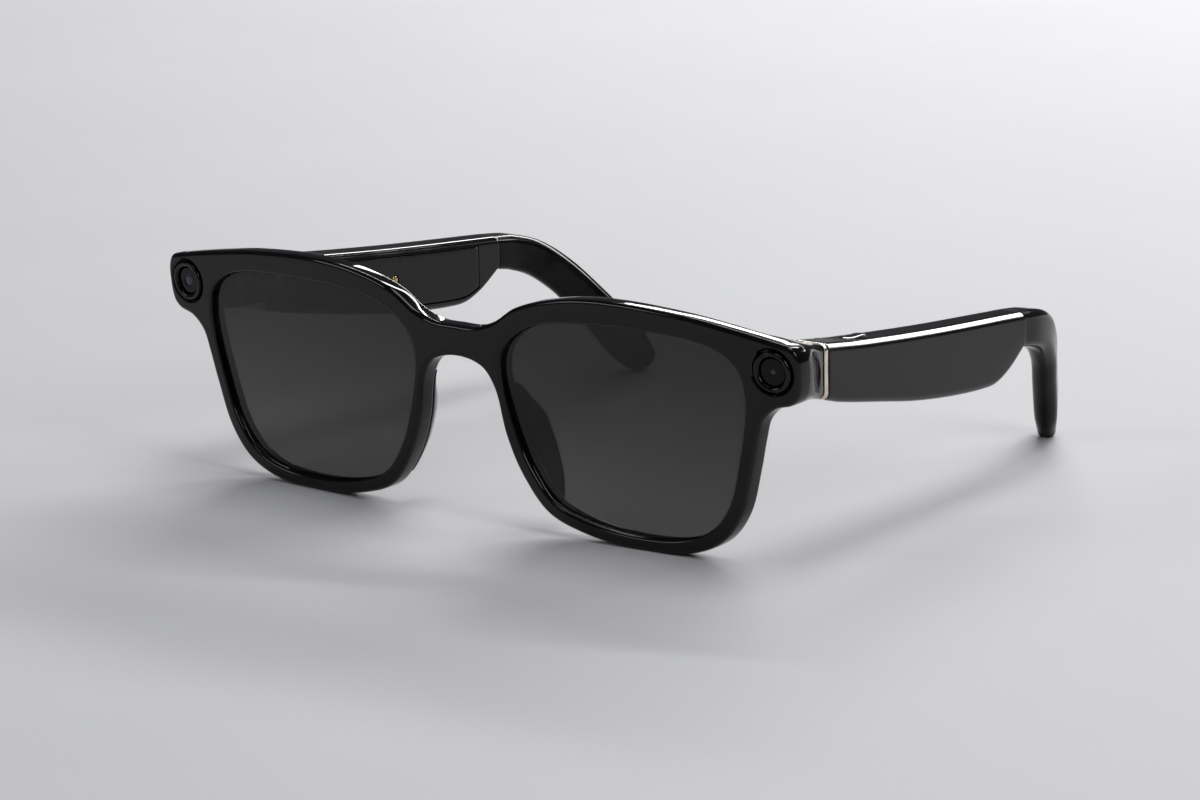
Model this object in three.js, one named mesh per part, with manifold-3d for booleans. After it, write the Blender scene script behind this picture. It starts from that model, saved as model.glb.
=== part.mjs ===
// Smart glasses: a wrapped front with two lenses, cameras in both end pieces, and two hollow
// temples that fold on three-knuckle hinges and hold the electronics.
// Millimetres, +Z up, the front faces -Y, and the wearer's left is +X.
import * as THREE from "three";
import { mergeVertices } from "three/addons/utils/BufferGeometryUtils.js";
import Module from "manifold-3d";

const wasm = await Module();
wasm.setup();

// ---- driving dimensions ----
const lensWidth = 50.5; // lens opening
const lensHeight = 37.1;
const bridgeWidth = 19.6; // between the two lens openings
const endPieceReach = 11; // from the lens opening to the outer edge of the front
const rimSide = 2.8; // rim widths seen from the front
const rimBottom = 2.3;
const browHeight = 4.4;
const frontThickness = 3.8;
const wrapCurve = 0.00084; // the front is y = wrapCurve x^2 + frontLean z
const frontLean = -0.091;
const edgeBevel = 0.5;
const lensThickness = 1.8;
const lensBite = 0.5; // how far a lens sits in its groove
const gap = 0.3; // between pieces that meet
const endPieceHeight = 9.2; // at the hinge
const endPieceTopDrop = 6; // from the brow's top to the end piece's top at the hinge
const endPieceTaper = 3.6; // the end piece narrows towards the hinge by this much
const endPieceWidth = 9;
const hingePlane = 13; // where a temple meets the front, behind the bridge
const bezelRadius = 3.65; // camera bezel
const windowRadius = 2.4;
const cameraRadius = 2.5;
const cameraLength = 4.6;
const templeThickness = 8; // at the hinge
const neckThickness = 6.5;
const templeInward = 3.7; // how far a temple's outer face comes in along its casing
const casingLength = 66; // hollow part of a temple
const neckDrop = 6.8; // the casing's top falls by this much to the neck
const neckHeight = 6.5;
const bulgeDepth = 5.1; // the casing hangs this far below the neck's underside
const templeWall = 1.3;
const templeLedge = 0.7;
const coverThickness = 1.2;
const trimThickness = 1.1;
const templeCorner = 1.4;
const hookReach = 31; // ear hook: how far it goes back, in and down to the floor
const hookInward = 12.8;
const tipWidth = 8.2;
const tipThickness = 4.4;
const tipRadius = 2.6;
const coreRadius = 0.7;
const knuckleRadius = 1.5;
const knuckleHeight = 2;
const pinRadius = 0.7;
const pinClearance = 0.15;
const leafThickness = 1.1;
const leafReach = 7;
const screwRadius = 0.6;
const screwHead = 0.4;
const buttonLength = 5.6;
const buttonWidth = 2.6;
const buttonProud = 0.4;
const buttonTravel = 0.4;
const buttonFlange = 0.7; // the button's foot reaches this far past its cap
const switchLength = 3.6;
const switchWidth = 2.8;
const switchHeight = 1.2;
const pinSpacing = 4; // charging contacts
const contactRadius = 0.8;
const boardEdge = 1.6; // the charging board reaches this far past its contacts
const boardHeight = 4;
const microphoneInset = 2.5; // behind the start of the temple's cavity
const microphoneLength = 3.2;
const microphoneWidth = 2.4;
const microphoneHeight = 1.1;
const microphonePort = 0.5;
const grilleWidth = 2;
const speakerHeight = 4.6;

// ---- places worked out from them ----
const lensCentreX = (bridgeWidth + lensWidth) / 2;
const lensCentreZ = rimBottom + lensHeight / 2;
const halfFront = bridgeWidth / 2 + lensWidth + endPieceReach;
const browTop = rimBottom + lensHeight + browHeight;
const hingeTop = browTop - endPieceTopDrop;
const hingeBottom = hingeTop - endPieceHeight;
const hingeMiddle = (hingeTop + hingeBottom) / 2;
const hingeOuter = halfFront - endPieceTaper;
const hingeInner = hingeOuter - templeThickness;
const endPieceInner = halfFront - endPieceWidth;
const cameraX = halfFront - bezelRadius - 1.6;
const cameraZ = hingeMiddle + 1.9;
const pivotX = endPieceInner - gap - knuckleRadius;
const casingStart = hingePlane + gap / 2 + trimThickness + gap;
const casingEnd = hingePlane + casingLength;
const cavityStart = hingePlane + leafReach + 2.4;
const cavityEnd = casingEnd - 6;

// ---- materials ----
function finish(color, roughness, metalness) {
  return new THREE.MeshStandardMaterial({ color, roughness, metalness });
}

const glossBlack = finish(0x0b0b0d, 0.12, 0);
const satinBlack = finish(0x161618, 0.4, 0);
const softBlack = finish(0x131315, 0.6, 0);
const smokeLens = finish(0x2c2e33, 0.05, 0);
const windowGlass = finish(0x101218, 0.05, 0);
const paleMetal = finish(0xc9c2b0, 0.25, 1);
const steel = finish(0x8a8c90, 0.35, 1);
const gold = finish(0xc8a85a, 0.3, 1);
const boardGreen = finish(0x1d4a33, 0.5, 0);
const foil = finish(0x9fa3a8, 0.45, 0.6);

// ---- solids ----
function solid(geometry) {
  const bare = geometry.clone();
  for (const name of Object.keys(bare.attributes)) if (name !== "position") bare.deleteAttribute(name);
  const merged = mergeVertices(bare, 1e-4);
  const vertProperties = new Float32Array(merged.attributes.position.array);
  const triVerts = new Uint32Array(merged.index.array);
  return new wasm.Manifold(new wasm.Mesh({ numProp: 3, vertProperties, triVerts }));
}

function geometryOf(body) {
  const { vertProperties, triVerts } = body.getMesh();
  const geometry = new THREE.BufferGeometry();
  geometry.setAttribute("position", new THREE.BufferAttribute(vertProperties, 3));
  geometry.setIndex(new THREE.BufferAttribute(triVerts, 1));
  return geometry;
}

// A shape drawn in x and z, from depth y0 back to y1, with an edge bevel if one is wanted.
function plate(shape, y0, y1, bevel = 0) {
  const geometry = new THREE.ExtrudeGeometry(shape, {
    depth: y1 - y0 - 2 * bevel,
    steps: 1,
    curveSegments: 12,
    bevelEnabled: bevel > 0,
    bevelThickness: bevel,
    bevelSize: bevel,
    bevelOffset: -bevel,
    bevelSegments: 1,
  });
  geometry.rotateX(Math.PI / 2);
  geometry.translate(0, y1 - bevel, 0);
  return solid(geometry);
}

// Moves a flat solid onto the wrapped, leaning front.
function onFront(body) {
  const geometry = geometryOf(body);
  const place = geometry.attributes.position;
  for (let i = 0; i < place.count; i++) {
    const x = place.getX(i);
    place.setY(i, place.getY(i) + wrapCurve * x * x + frontLean * place.getZ(i));
  }
  return solid(geometry);
}

const frontBack = (x, z) => wrapCurve * x * x + frontLean * z + frontThickness;

// Joins rings of points into one closed body, whichever way round the rings turn.
function loft(rings) {
  const count = rings[0].length;
  const places = rings.flat().flatMap((p) => [p.x, p.y, p.z]);
  const faces = [];
  for (let i = 0; i + 1 < rings.length; i++) {
    for (let j = 0; j < count; j++) {
      const [a, b] = [i * count + j, i * count + ((j + 1) % count)];
      faces.push(a, b, b + count, a, b + count, a + count);
    }
  }
  const last = (rings.length - 1) * count;
  for (let j = 1; j + 1 < count; j++) {
    faces.push(0, j + 1, j, last, last + j, last + j + 1);
  }
  const geometry = new THREE.BufferGeometry();
  geometry.setAttribute("position", new THREE.Float32BufferAttribute(places, 3));
  geometry.setIndex(faces);
  return facingOut(geometry);
}

// A solid with its faces turned round if they point inwards.
function facingOut(geometry) {
  const body = solid(geometry);
  if (body.volume() > 0) return body;
  const order = geometry.index.array;
  for (let i = 0; i < order.length; i += 3) [order[i + 1], order[i + 2]] = [order[i + 2], order[i + 1]];
  return solid(geometry);
}

function box(x0, x1, y0, y1, z0, z1) {
  const geometry = new THREE.BoxGeometry(x1 - x0, y1 - y0, z1 - z0);
  geometry.translate((x0 + x1) / 2, (y0 + y1) / 2, (z0 + z1) / 2);
  return solid(geometry);
}

// A turned piece about an axis that runs along y (back), x (out) or z (up), from a profile of
// [radius, distance] pairs that starts and ends on the axis or closes on itself.
function turned(profile, axis, centre, segments = 20) {
  const geometry = new THREE.LatheGeometry(profile.map(([r, d]) => new THREE.Vector2(r, d)), segments);
  if (axis === "z") geometry.rotateX(Math.PI / 2);
  if (axis === "x") geometry.rotateZ(-Math.PI / 2);
  geometry.translate(...centre);
  return facingOut(geometry);
}

const rod = (r, from, to) => [[0, from], [r, from], [r, to], [0, to]];

// A smooth height over distance, through [distance, height] pairs.
function smooth(points) {
  const slope = (i) => {
    const [a, b] = [points[Math.max(i - 1, 0)], points[Math.min(i + 1, points.length - 1)]];
    return (b[1] - a[1]) / (b[0] - a[0]);
  };
  return (at) => {
    let i = points.findIndex((p) => p[0] > at) - 1;
    if (i === -1 && at <= points[0][0]) return points[0][1] + slope(0) * (at - points[0][0]);
    if (i < 0) i = points.length - 2;
    const [[x0, y0], [x1, y1]] = [points[i], points[i + 1]];
    const [h, t] = [x1 - x0, (at - x0) / (x1 - x0)];
    const [t2, t3] = [t * t, t * t * t];
    return (2 * t3 - 3 * t2 + 1) * y0 + (t3 - 2 * t2 + t) * h * slope(i)
      + (3 * t2 - 2 * t3) * y1 + (t3 - t2) * h * slope(i + 1);
  };
}

// ---- the front's outlines, in x and z ----
// Lens opening of the wearer's left side, in shares of its half width and half height.
const lensShares = [
  [-0.44, 0.968], [-0.13, 0.995], [0.18, 1], [0.58, 0.973], [0.8, 0.9], [0.949, 0.747], [1, 0.466],
  [0.913, -0.186], [0.818, -0.574], [0.671, -0.822], [0.45, -0.957], [0.05, -1], [-0.37, -0.93],
  [-0.62, -0.8], [-0.8, -0.5], [-0.9, -0.186], [-1, 0.4], [-0.965, 0.62], [-0.84, 0.8], [-0.66, 0.915],
];
const lensPoints = 46;

function lensLoop(extraSide, extraHeight) {
  const [w, h] = [lensWidth / 2 + extraSide, lensHeight / 2 + extraHeight];
  const points = lensShares.map(([u, v]) => new THREE.Vector3(lensCentreX + u * w, lensCentreZ + v * h, 0));
  const curve = new THREE.CatmullRomCurve3(points, true, "centripetal");
  return curve.getSpacedPoints(lensPoints).slice(0, -1).map((p) => new THREE.Vector2(p.x, p.y));
}

// Moves each point of a clockwise loop outwards by the same amount.
function grown(loop, amount) {
  return loop.map((p, i) => {
    const before = loop[(i + loop.length - 1) % loop.length];
    const along = loop[(i + 1) % loop.length].clone().sub(before).normalize();
    return new THREE.Vector2(p.x - along.y * amount, p.y + along.x * amount);
  });
}

const mirrorX = (points) => points.map((p) => new THREE.Vector2(-p.x, p.y)).reverse();
const lensOpening = lensLoop(0, 0);

// The rim's outer edge under the end piece and round to the nose, flat where it stands.
const rimFlat = 0.12;
const rimLoop = lensLoop(rimSide, rimBottom + rimFlat).map((p) => new THREE.Vector2(p.x, Math.max(p.y, 0)));
const rimOuterEnd = lensCentreZ + 0.06 * lensHeight;
const rimNoseEnd = lensCentreZ + 0.14 * lensHeight;
const rimOuter = rimLoop.filter((p) => p.x > lensCentreX && p.y < rimOuterEnd);
const rimNose = rimLoop.filter((p) => p.x <= lensCentreX && p.y < rimNoseEnd);

function frontHalf() {
  const [side, top] = [halfFront, browTop];
  const noseX = bridgeWidth / 2;
  const lensRight = bridgeWidth / 2 + lensWidth;
  const upper = new THREE.SplineCurve([
    new THREE.Vector2(0, top - 8.1),
    new THREE.Vector2(noseX * 0.45, top - 8),
    new THREE.Vector2(noseX * 0.91, top - 6.5),
    new THREE.Vector2(noseX + 3.9, top - 3.5),
    new THREE.Vector2(noseX + 0.23 * lensWidth, top - 1.2),
    new THREE.Vector2(lensCentreX - 0.06 * lensWidth, top),
    new THREE.Vector2(lensCentreX + 0.25 * lensWidth, top - 0.7),
    new THREE.Vector2(lensRight - 2.8, top - 2),
    new THREE.Vector2(side - 4, top - 3.7),
    new THREE.Vector2(side - 1.2, top - 4.4),
    new THREE.Vector2(side - 0.2, top - 6.2),
    new THREE.Vector2(side - 0.1, top - 10),
    new THREE.Vector2(side - 0.8, top - 13),
    new THREE.Vector2(side - 2.2, top - 14.3),
    new THREE.Vector2(side - 5.4, top - 15.3),
    new THREE.Vector2(side - 7.9, top - 17.6),
  ]).getSpacedPoints(38);
  const underBridge = new THREE.SplineCurve([
    new THREE.Vector2(noseX * 0.62, top - 15.6),
    new THREE.Vector2(noseX * 0.4, top - 14.4),
    new THREE.Vector2(0, top - 13.8),
  ]).getSpacedPoints(4);
  return [...upper, ...rimOuter, ...rimNose, ...underBridge].slice(0, -1);
}

const ribbonOf = (path, width) => {
  const side = (amount) => path.map((p, i) => {
    const [a, b] = [path[Math.max(i - 1, 0)], path[Math.min(i + 1, path.length - 1)]];
    const along = b.clone().sub(a).normalize();
    return new THREE.Vector2(p.x - along.y * amount, p.y + along.x * amount);
  });
  return new THREE.Shape([...side(width / 2), ...side(-width / 2).reverse()]);
};

// The cable route over both lenses and through the bridge, between the two end pieces.
function cableRoute() {
  const over = grown(lensOpening, grooveBite + grooveCover + channelWidth / 2)
    .filter((p) => p.y > lensCentreZ + 0.36 * lensHeight && p.x < lensCentreX + 0.42 * lensWidth)
    .sort((a, b) => a.x - b.x)
    .filter((p, i) => i % 4 === 0);
  const bridge = new THREE.Vector2(bridgeWidth * 0.2, browTop - bridgeDrop);
  const end = new THREE.Vector2(cameraX - cameraRadius - 0.2, cameraZ + 2);
  const half = [bridge, ...over, end];
  return new THREE.SplineCurve([...mirrorX(half), ...half]).getSpacedPoints(48);
}

const grooveBite = lensBite + gap;
const grooveCover = 0.75; // plastic left between a lens groove and the cable channel
const bridgeDrop = 10.6; // the cable crosses the bridge this far below the brow's top
const channelWidth = 1.7;
const channelDepth = 1.4;

// ---- the front's pieces ----
const plateAround = (loop, y0, y1, bevel) => plate(new THREE.Shape(loop), y0, y1, bevel);

function endPiece() {
  const [front, back] = [frontThickness * 0.6, hingePlane - gap / 2];
  const rings = [];
  for (let i = 0; i <= 3; i++) {
    const t = i / 3;
    const y = front + t * (back - front);
    const outer = halfFront - 0.4 - (endPieceTaper - 0.4) * t;
    const top = THREE.MathUtils.lerp(hingeTop + 1.6, hingeTop, t);
    const bottom = THREE.MathUtils.lerp(hingeBottom + 1.1, hingeBottom, t);
    const ring = roundedRing(endPieceInner, outer, bottom, top, templeCorner);
    rings.push(ring.map(([x, z]) => new THREE.Vector3(x, y, z)));
  }
  return loft(rings);
}

// Twelve points round a rectangle with rounded corners, as [x, z] pairs.
function roundedRing(x0, x1, z0, z1, radius) {
  const r = Math.min(radius, (x1 - x0) * 0.46, (z1 - z0) * 0.46);
  const corners = [
    [x1 - r, z0 + r, -90], [x1 - r, z1 - r, 0], [x0 + r, z1 - r, 90], [x0 + r, z0 + r, 180],
  ];
  return corners.flatMap(([x, z, start]) => [0, 45, 90].map((step) => {
    const angle = THREE.MathUtils.degToRad(start + step);
    return [x + r * Math.cos(angle), z + r * Math.sin(angle)];
  }));
}

// The lens opening right through the front, with its bevelled edges.
function openingCut() {
  const reach = 1;
  const back = frontThickness;
  const section = (y, amount) =>
    grown(lensOpening, amount).map((p) => new THREE.Vector3(p.x, y, p.y)).reverse();
  return loft([
    section(-reach, edgeBevel + reach), section(edgeBevel, 0),
    section(back - edgeBevel, 0), section(back + reach, edgeBevel + reach),
  ]);
}

function frontFrame() {
  const half = frontHalf();
  const outline = new THREE.Shape([...half, ...mirrorX(half.slice(1))]);
  let flat = plate(outline, 0, frontThickness, edgeBevel);
  const middle = frontThickness / 2;
  const groove = lensThickness / 2 + gap;
  const grooveLoop = grown(lensOpening, grooveBite);
  for (const side of [1, -1]) {
    flat = flat.subtract(sided(plateAround(grooveLoop, middle - groove, middle + groove), side));
    flat = flat.subtract(sided(openingCut(), side));
  }
  let frame = onFront(flat);
  const blocks = endPiece();
  frame = frame.add(blocks).add(mirrored(blocks));
  const [floor, above] = [frontThickness - channelDepth, frontThickness + channelDepth];
  const channel = plate(ribbonOf(cableRoute(), channelWidth), floor, above);
  frame = frame.subtract(onFront(channel));
  for (const side of [1, -1]) {
    const at = [side * cameraX, 0, cameraZ];
    const seat = turned(rod(bezelRadius + gap, -2, 1.6), "y", at, 28);
    const bore = turned(rod(cameraRadius + gap, 1, 1.9 + cameraLength + gap), "y", at, 24);
    frame = frame.subtract(onFront(seat.add(bore)));
    frame = frame.subtract(sided(leafScrewHole(), side));
  }
  return frame;
}

const leafScrewAt = [endPieceInner - gap, hingePlane - leafReach * 0.62, hingeMiddle];
const leafScrewHole = () => turned(rod(screwRadius + gap / 2, -1, 2.6 + gap), "x", leafScrewAt, 12);

function mirrored(body) {
  const geometry = geometryOf(body);
  geometry.scale(-1, 1, 1);
  return facingOut(geometry);
}

const sided = (body, side) => (side > 0 ? body : mirrored(body));

function lens() {
  const front = (frontThickness - lensThickness) / 2;
  return onFront(plateAround(grown(lensOpening, lensBite), front, front + lensThickness, 0.2));
}

function browCover() {
  const width = channelWidth - 2 * gap;
  const cover = onFront(plate(ribbonOf(cableRoute(), width), frontThickness - 0.6, frontThickness - 0.05));
  const reach = endPieceInner - gap;
  return cover.intersect(box(-reach, reach, -halfFront, halfFront, 0, browTop));
}

function flexCable() {
  const width = channelWidth - 2 * gap;
  const floor = frontThickness - channelDepth;
  return onFront(plate(ribbonOf(cableRoute(), width), floor + gap, floor + gap + 0.25));
}

function cameraBezel() {
  const [outer, inner] = [bezelRadius, windowRadius + gap];
  const profile = [
    [inner, 0.2], [inner + 0.35, -0.15], [outer - 0.45, -0.3], [outer, 0.1],
    [outer, 1.3], [inner, 1.3], [inner, 0.2],
  ];
  return onFront(turned(profile, "y", [cameraX, 0, cameraZ], 28));
}

function cameraWindow() {
  return onFront(turned(rod(windowRadius, 0.35, 1.15), "y", [cameraX, 0, cameraZ], 24));
}

function cameraModule() {
  const end = 1.7 + cameraLength;
  const profile = [[0, 1.45], [1.3, 1.45], [1.5, 1.7], [cameraRadius, 1.7], [cameraRadius, end], [0, end]];
  return onFront(turned(profile, "y", [cameraX, 0, cameraZ], 20));
}

// A nose pad stands behind the nose side of the rim and flares outwards to the back.
function nosePad() {
  const depthShares = [[0, 0.7], [0.14, 2.2], [0.28, 4], [0.5, 4.5], [0.7, 4], [0.86, 2.8], [1, 0.9]];
  const depthAt = smooth(depthShares);
  const edge = rimNose.slice().sort((a, b) => a.y - b.y);
  const steep = edge.filter((p, i) => i === 0 || p.y - edge[i - 1].y > 0.1);
  const edgeAt = smooth(steep.map((p) => [p.y, p.x]));
  const [top, bottom] = [lensCentreZ + 0.13 * lensHeight, rimBottom + 3.6];
  const rings = [];
  for (let i = 0; i <= 12; i++) {
    const t = i / 12;
    const z = top + t * (bottom - top);
    const [x, depth] = [edgeAt(z) + 0.35, depthAt(t)];
    const root = frontBack(x, z) + gap;
    const flare = 0.45 * depth;
    const section = [
      [0, 0], [rimSide - 0.9, 0], [rimSide - 0.9 + flare * 0.5, 0.55], [1.7 + flare, 0.86],
      [1.1 + flare, 1], [0.45 + flare, 0.9], [flare * 0.55, 0.5],
    ];
    rings.push(section.map(([dx, share]) => new THREE.Vector3(x + dx, root + share * depth, z)));
  }
  return loft(rings);
}

// ---- hinges ----
const knuckles = [-1, 0, 1].map((k) => hingeMiddle + k * (knuckleHeight + gap));
const hingeHalf = 1.5 * knuckleHeight + gap;
const pinAt = [pivotX, hingePlane, hingeMiddle];
const pinHole = () => turned(rod(pinRadius + pinClearance, -hingeHalf - 1, hingeHalf + 1), "z", pinAt, 20);
const knuckleAt = (z, radius = knuckleRadius, height = knuckleHeight) =>
  turned(rod(radius, -height / 2, height / 2), "z", [pivotX, hingePlane, z], 20);

function frontLeaf() {
  const back = hingePlane - knuckleRadius * 0.2;
  const outer = endPieceInner - gap;
  const [low, high] = [hingeMiddle - hingeHalf, hingeMiddle + hingeHalf];
  let leaf = box(outer - leafThickness, outer, hingePlane - leafReach, back, low, high);
  leaf = leaf.add(knuckleAt(knuckles[0])).add(knuckleAt(knuckles[2]));
  leaf = leaf.subtract(knuckleAt(knuckles[1], knuckleRadius + gap, knuckleHeight + 2 * gap));
  leaf = leaf.subtract(turned(rod(screwRadius + gap / 2, -4, 4), "x", leafScrewAt, 12));
  return leaf.subtract(pinHole());
}

// A screw through a hinge leaf, from its head on the inner side to its end inside the plastic.
function screwProfile(end) {
  const [seat, headRadius] = [-leafThickness - gap / 2, screwRadius * 1.8];
  const top = seat - screwHead;
  return [
    [0, top], [headRadius, top], [headRadius, seat], [screwRadius, seat], [screwRadius, end], [0, end],
  ];
}

function frontLeafScrew() {
  return turned(screwProfile(2.5), "x", leafScrewAt, 12);
}

const templeLeafScrewAt = [pivotX + leafThickness / 2, hingePlane + leafReach * 0.72, hingeMiddle];

function templeLeaf() {
  const [x0, x1] = [pivotX - leafThickness / 2, pivotX + leafThickness / 2];
  const clear = knuckleRadius + gap;
  const [half, web] = [hingeHalf - 0.2, knuckleHeight / 2];
  const end = hingePlane + leafReach;
  let leaf = box(x0, x1, hingePlane, end, hingeMiddle - web, hingeMiddle + web);
  leaf = leaf.add(box(x0, x1, hingePlane + clear, end, hingeMiddle - half, hingeMiddle + half));
  leaf = leaf.add(knuckleAt(knuckles[1]));
  leaf = leaf.subtract(turned(rod(screwRadius + gap / 2, -4, 4), "x", templeLeafScrewAt, 12));
  return leaf.subtract(pinHole());
}

function templeLeafScrew() {
  return turned(screwProfile(2.4), "x", templeLeafScrewAt, 12);
}

const hingePin = () => turned(rod(pinRadius, -hingeHalf, hingeHalf), "z", pinAt, 20);

// ---- temple casing: its faces as functions of y ----
const along = (share) => hingePlane + share * casingLength;
const neckTop = hingeTop - neckDrop;
const neckBottom = neckTop - neckHeight;
const bulgeBottom = neckBottom - bulgeDepth;
const topShares = [[0, 0], [0.2, 0.27], [0.57, 0.65], [1, 1]];
const topZ = smooth(topShares.map(([s, f]) => [along(s), hingeTop - f * neckDrop]));
// The underside falls from the hinge to the bulge, then rises to the neck.
const fallShares = [[0, 0], [0.1, 0.21], [0.29, 0.49], [0.47, 0.74], [0.66, 0.92], [0.82, 1]];
const riseShares = [[0.87, 0.07], [0.93, 0.4], [1, 1]];
const bottomZ = smooth([
  ...fallShares.map(([s, f]) => [along(s), THREE.MathUtils.lerp(hingeBottom, bulgeBottom, f)]),
  ...riseShares.map(([s, f]) => [along(s), THREE.MathUtils.lerp(bulgeBottom, neckBottom, f)]),
]);
const outerX = (y) => hingeOuter - (templeInward * (y - hingePlane)) / casingLength;
const slimming = (templeThickness - neckThickness) / casingLength;
const thicknessAt = (y) => templeThickness - slimming * (y - hingePlane);
const innerX = (y) => outerX(y) - thicknessAt(y);

// Sections at set distances, from functions of y for the four faces.
function band(y0, y1, x0, x1, z0, z1, steps = 1, radius = 0) {
  const rings = [];
  for (let i = 0; i <= steps; i++) {
    const y = y0 + ((y1 - y0) * i) / steps;
    const [a, b, c, d] = [x0, x1, z0, z1].map((f) => f(y));
    const ring = radius ? roundedRing(a, b, c, d, radius) : [[b, c], [b, d], [a, d], [a, c]];
    rings.push(ring.map(([x, z]) => new THREE.Vector3(x, y, z)));
  }
  return loft(rings);
}

const shifted = (f, amount) => (y) => f(y) + amount;

const casingBody = (y0, y1, steps) => band(y0, y1, innerX, outerX, bottomZ, topZ, steps, templeCorner);

// What the hinge needs free in a temple: its knuckles, the temple leaf and the leaf's screw.
function hingeRoom() {
  const half = hingeHalf + 0.4;
  const [x1, y1] = [pivotX + leafThickness / 2 + gap, hingePlane + leafReach + gap];
  const leaf = box(hingeInner - 3, x1, hingePlane - 1, y1, hingeMiddle - half, hingeMiddle + half);
  const round = knuckleAt(hingeMiddle, knuckleRadius + 0.5, 2 * hingeHalf + 0.8);
  const screw = turned(rod(screwRadius + gap / 2, 0, 2.4 + gap), "x", templeLeafScrewAt, 12);
  return leaf.add(round).add(screw);
}

// The neck's centre and the ear hook's path, which ends at the floor.
const neckCentre = new THREE.Vector3(
  (outerX(casingEnd) + innerX(casingEnd)) / 2, casingEnd + gap, (neckTop + neckBottom) / 2,
);
const hookShares = [
  [0, 0, 0], [0.04, 0.18, 0.035], [0.15, 0.37, 0.115], [0.34, 0.55, 0.28],
  [0.58, 0.715, 0.52], [0.8, 0.865, 0.77], [1, 1, 1],
];
const hookDrop = neckCentre.z - tipRadius;
const hookPoint = ([inward, back, down]) =>
  new THREE.Vector3(-inward * hookInward, back * hookReach, -down * hookDrop).add(neckCentre);
const hookPath = new THREE.CatmullRomCurve3(hookShares.map(hookPoint), false, "centripetal");

function coreCurve(frontEnd, share) {
  const start = new THREE.Vector3(neckCentre.x, frontEnd, neckCentre.z);
  const points = [start];
  for (let i = 0; i <= 6; i++) points.push(hookPath.getPointAt((share * i) / 6));
  return new THREE.CatmullRomCurve3(points, false, "centripetal");
}

function wire(curve, radius) {
  const section = new THREE.Shape().absarc(0, 0, radius, 0, 2 * Math.PI);
  return solid(new THREE.ExtrudeGeometry(section, { steps: 10, curveSegments: 4, extrudePath: curve }));
}

function templeTip() {
  const stations = 14;
  const heightAt = smooth([
    [0, neckHeight], [0.2, 7], [0.5, 7.2], [0.75, tipWidth * 0.95], [0.9, tipWidth], [1, tipWidth * 0.8],
  ]);
  const thickAt = smooth([
    [0, neckThickness], [0.25, 5.4], [0.5, tipThickness + 0.3], [0.85, tipThickness], [1, tipThickness * 0.8],
  ]);
  const rings = [];
  for (let i = 0; i <= stations; i++) {
    const t = i / stations;
    const centre = hookPath.getPointAt(t);
    const blend = Math.min(1, t / 0.14);
    const ahead = new THREE.Vector3(0, 1, 0).lerp(hookPath.getTangentAt(t), blend).normalize();
    const out = new THREE.Vector3().crossVectors(ahead, new THREE.Vector3(0, 0, 1)).normalize();
    const up = new THREE.Vector3().crossVectors(out, ahead);
    const [thick, high] = [thickAt(t) / 2, heightAt(t) / 2];
    const ring = roundedRing(-thick, thick, -high, high, templeCorner + t);
    rings.push(ring.map(([x, z]) => centre.clone().addScaledVector(out, x).addScaledVector(up, z)));
  }
  const close = rings[stations];
  const centre = hookPath.getPointAt(1);
  const end = hookPath.getTangentAt(1);
  for (const [share, ahead] of [[0.86, 0.45], [0.55, 0.85]]) {
    rings.push(close.map((p) => centre.clone().lerp(p, share).addScaledVector(end, ahead * tipRadius)));
  }
  const floor = box(0, halfFront, casingEnd, casingEnd + 2 * hookReach, -2 * tipRadius, 0);
  const bore = wire(coreCurve(casingEnd - 1, 0.62), coreRadius + gap);
  return loft(rings).subtract(floor).subtract(bore);
}

// ---- what a temple holds ----
const mouthLow = shifted(bottomZ, templeWall);
const mouthHigh = shifted(topZ, -templeWall);
const coverInner = shifted(innerX, coverThickness);
const roomInner = shifted(innerX, coverThickness + gap);
const roomOuter = shifted(outerX, -templeWall - gap);
const roomLow = shifted(bottomZ, templeWall + templeLedge + gap);
const roomHigh = shifted(topZ, -templeWall - templeLedge - gap);

const buttonY = cavityStart + 2 + buttonLength / 2;
const buttonX = (outerX(buttonY) + innerX(buttonY)) / 2 + 0.4;
const buttonTop = topZ(buttonY) + buttonProud;
const speakerFrom = along(0.68);
const speakerTo = along(0.86);
const microphoneY = cavityStart + microphoneInset;
const contactY = along(0.52);

// A slot with round ends, along y, between two heights.
function pill(y, x, length, width, z0, z1) {
  const r = width / 2;
  const shape = new THREE.Shape();
  shape.absarc(0, length / 2 - r, r, 0, Math.PI);
  shape.absarc(0, r - length / 2, r, Math.PI, 2 * Math.PI);
  const settings = { depth: z1 - z0, bevelEnabled: false, curveSegments: 6 };
  const geometry = new THREE.ExtrudeGeometry(shape, settings);
  geometry.translate(x, y, z0);
  return solid(geometry);
}

const switchGap = buttonTravel + gap;
const stemBottom = topZ(buttonY) - templeWall - templeLedge - 1.1;
const footEnd = buttonY + buttonLength / 2 + buttonFlange;

function captureButton() {
  const flangeTop = topZ(footEnd) - templeWall - templeLedge - gap;
  const cap = pill(buttonY, buttonX, buttonLength, buttonWidth, stemBottom, buttonTop);
  const [footLength, footWidth] = [buttonLength + 2 * buttonFlange, buttonWidth + 1];
  return cap.add(pill(buttonY, buttonX, footLength, footWidth, stemBottom, flangeTop));
}

const buttonHole = () =>
  pill(buttonY, buttonX, buttonLength + 2 * gap, buttonWidth + 2 * gap, stemBottom - 1, buttonTop + 1);

function captureSwitch() {
  const top = stemBottom - switchGap;
  const [halfX, halfY] = [switchWidth / 2, switchLength / 2];
  return box(buttonX - halfX, buttonX + halfX, buttonY - halfY, buttonY + halfY, top - switchHeight, top);
}

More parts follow.
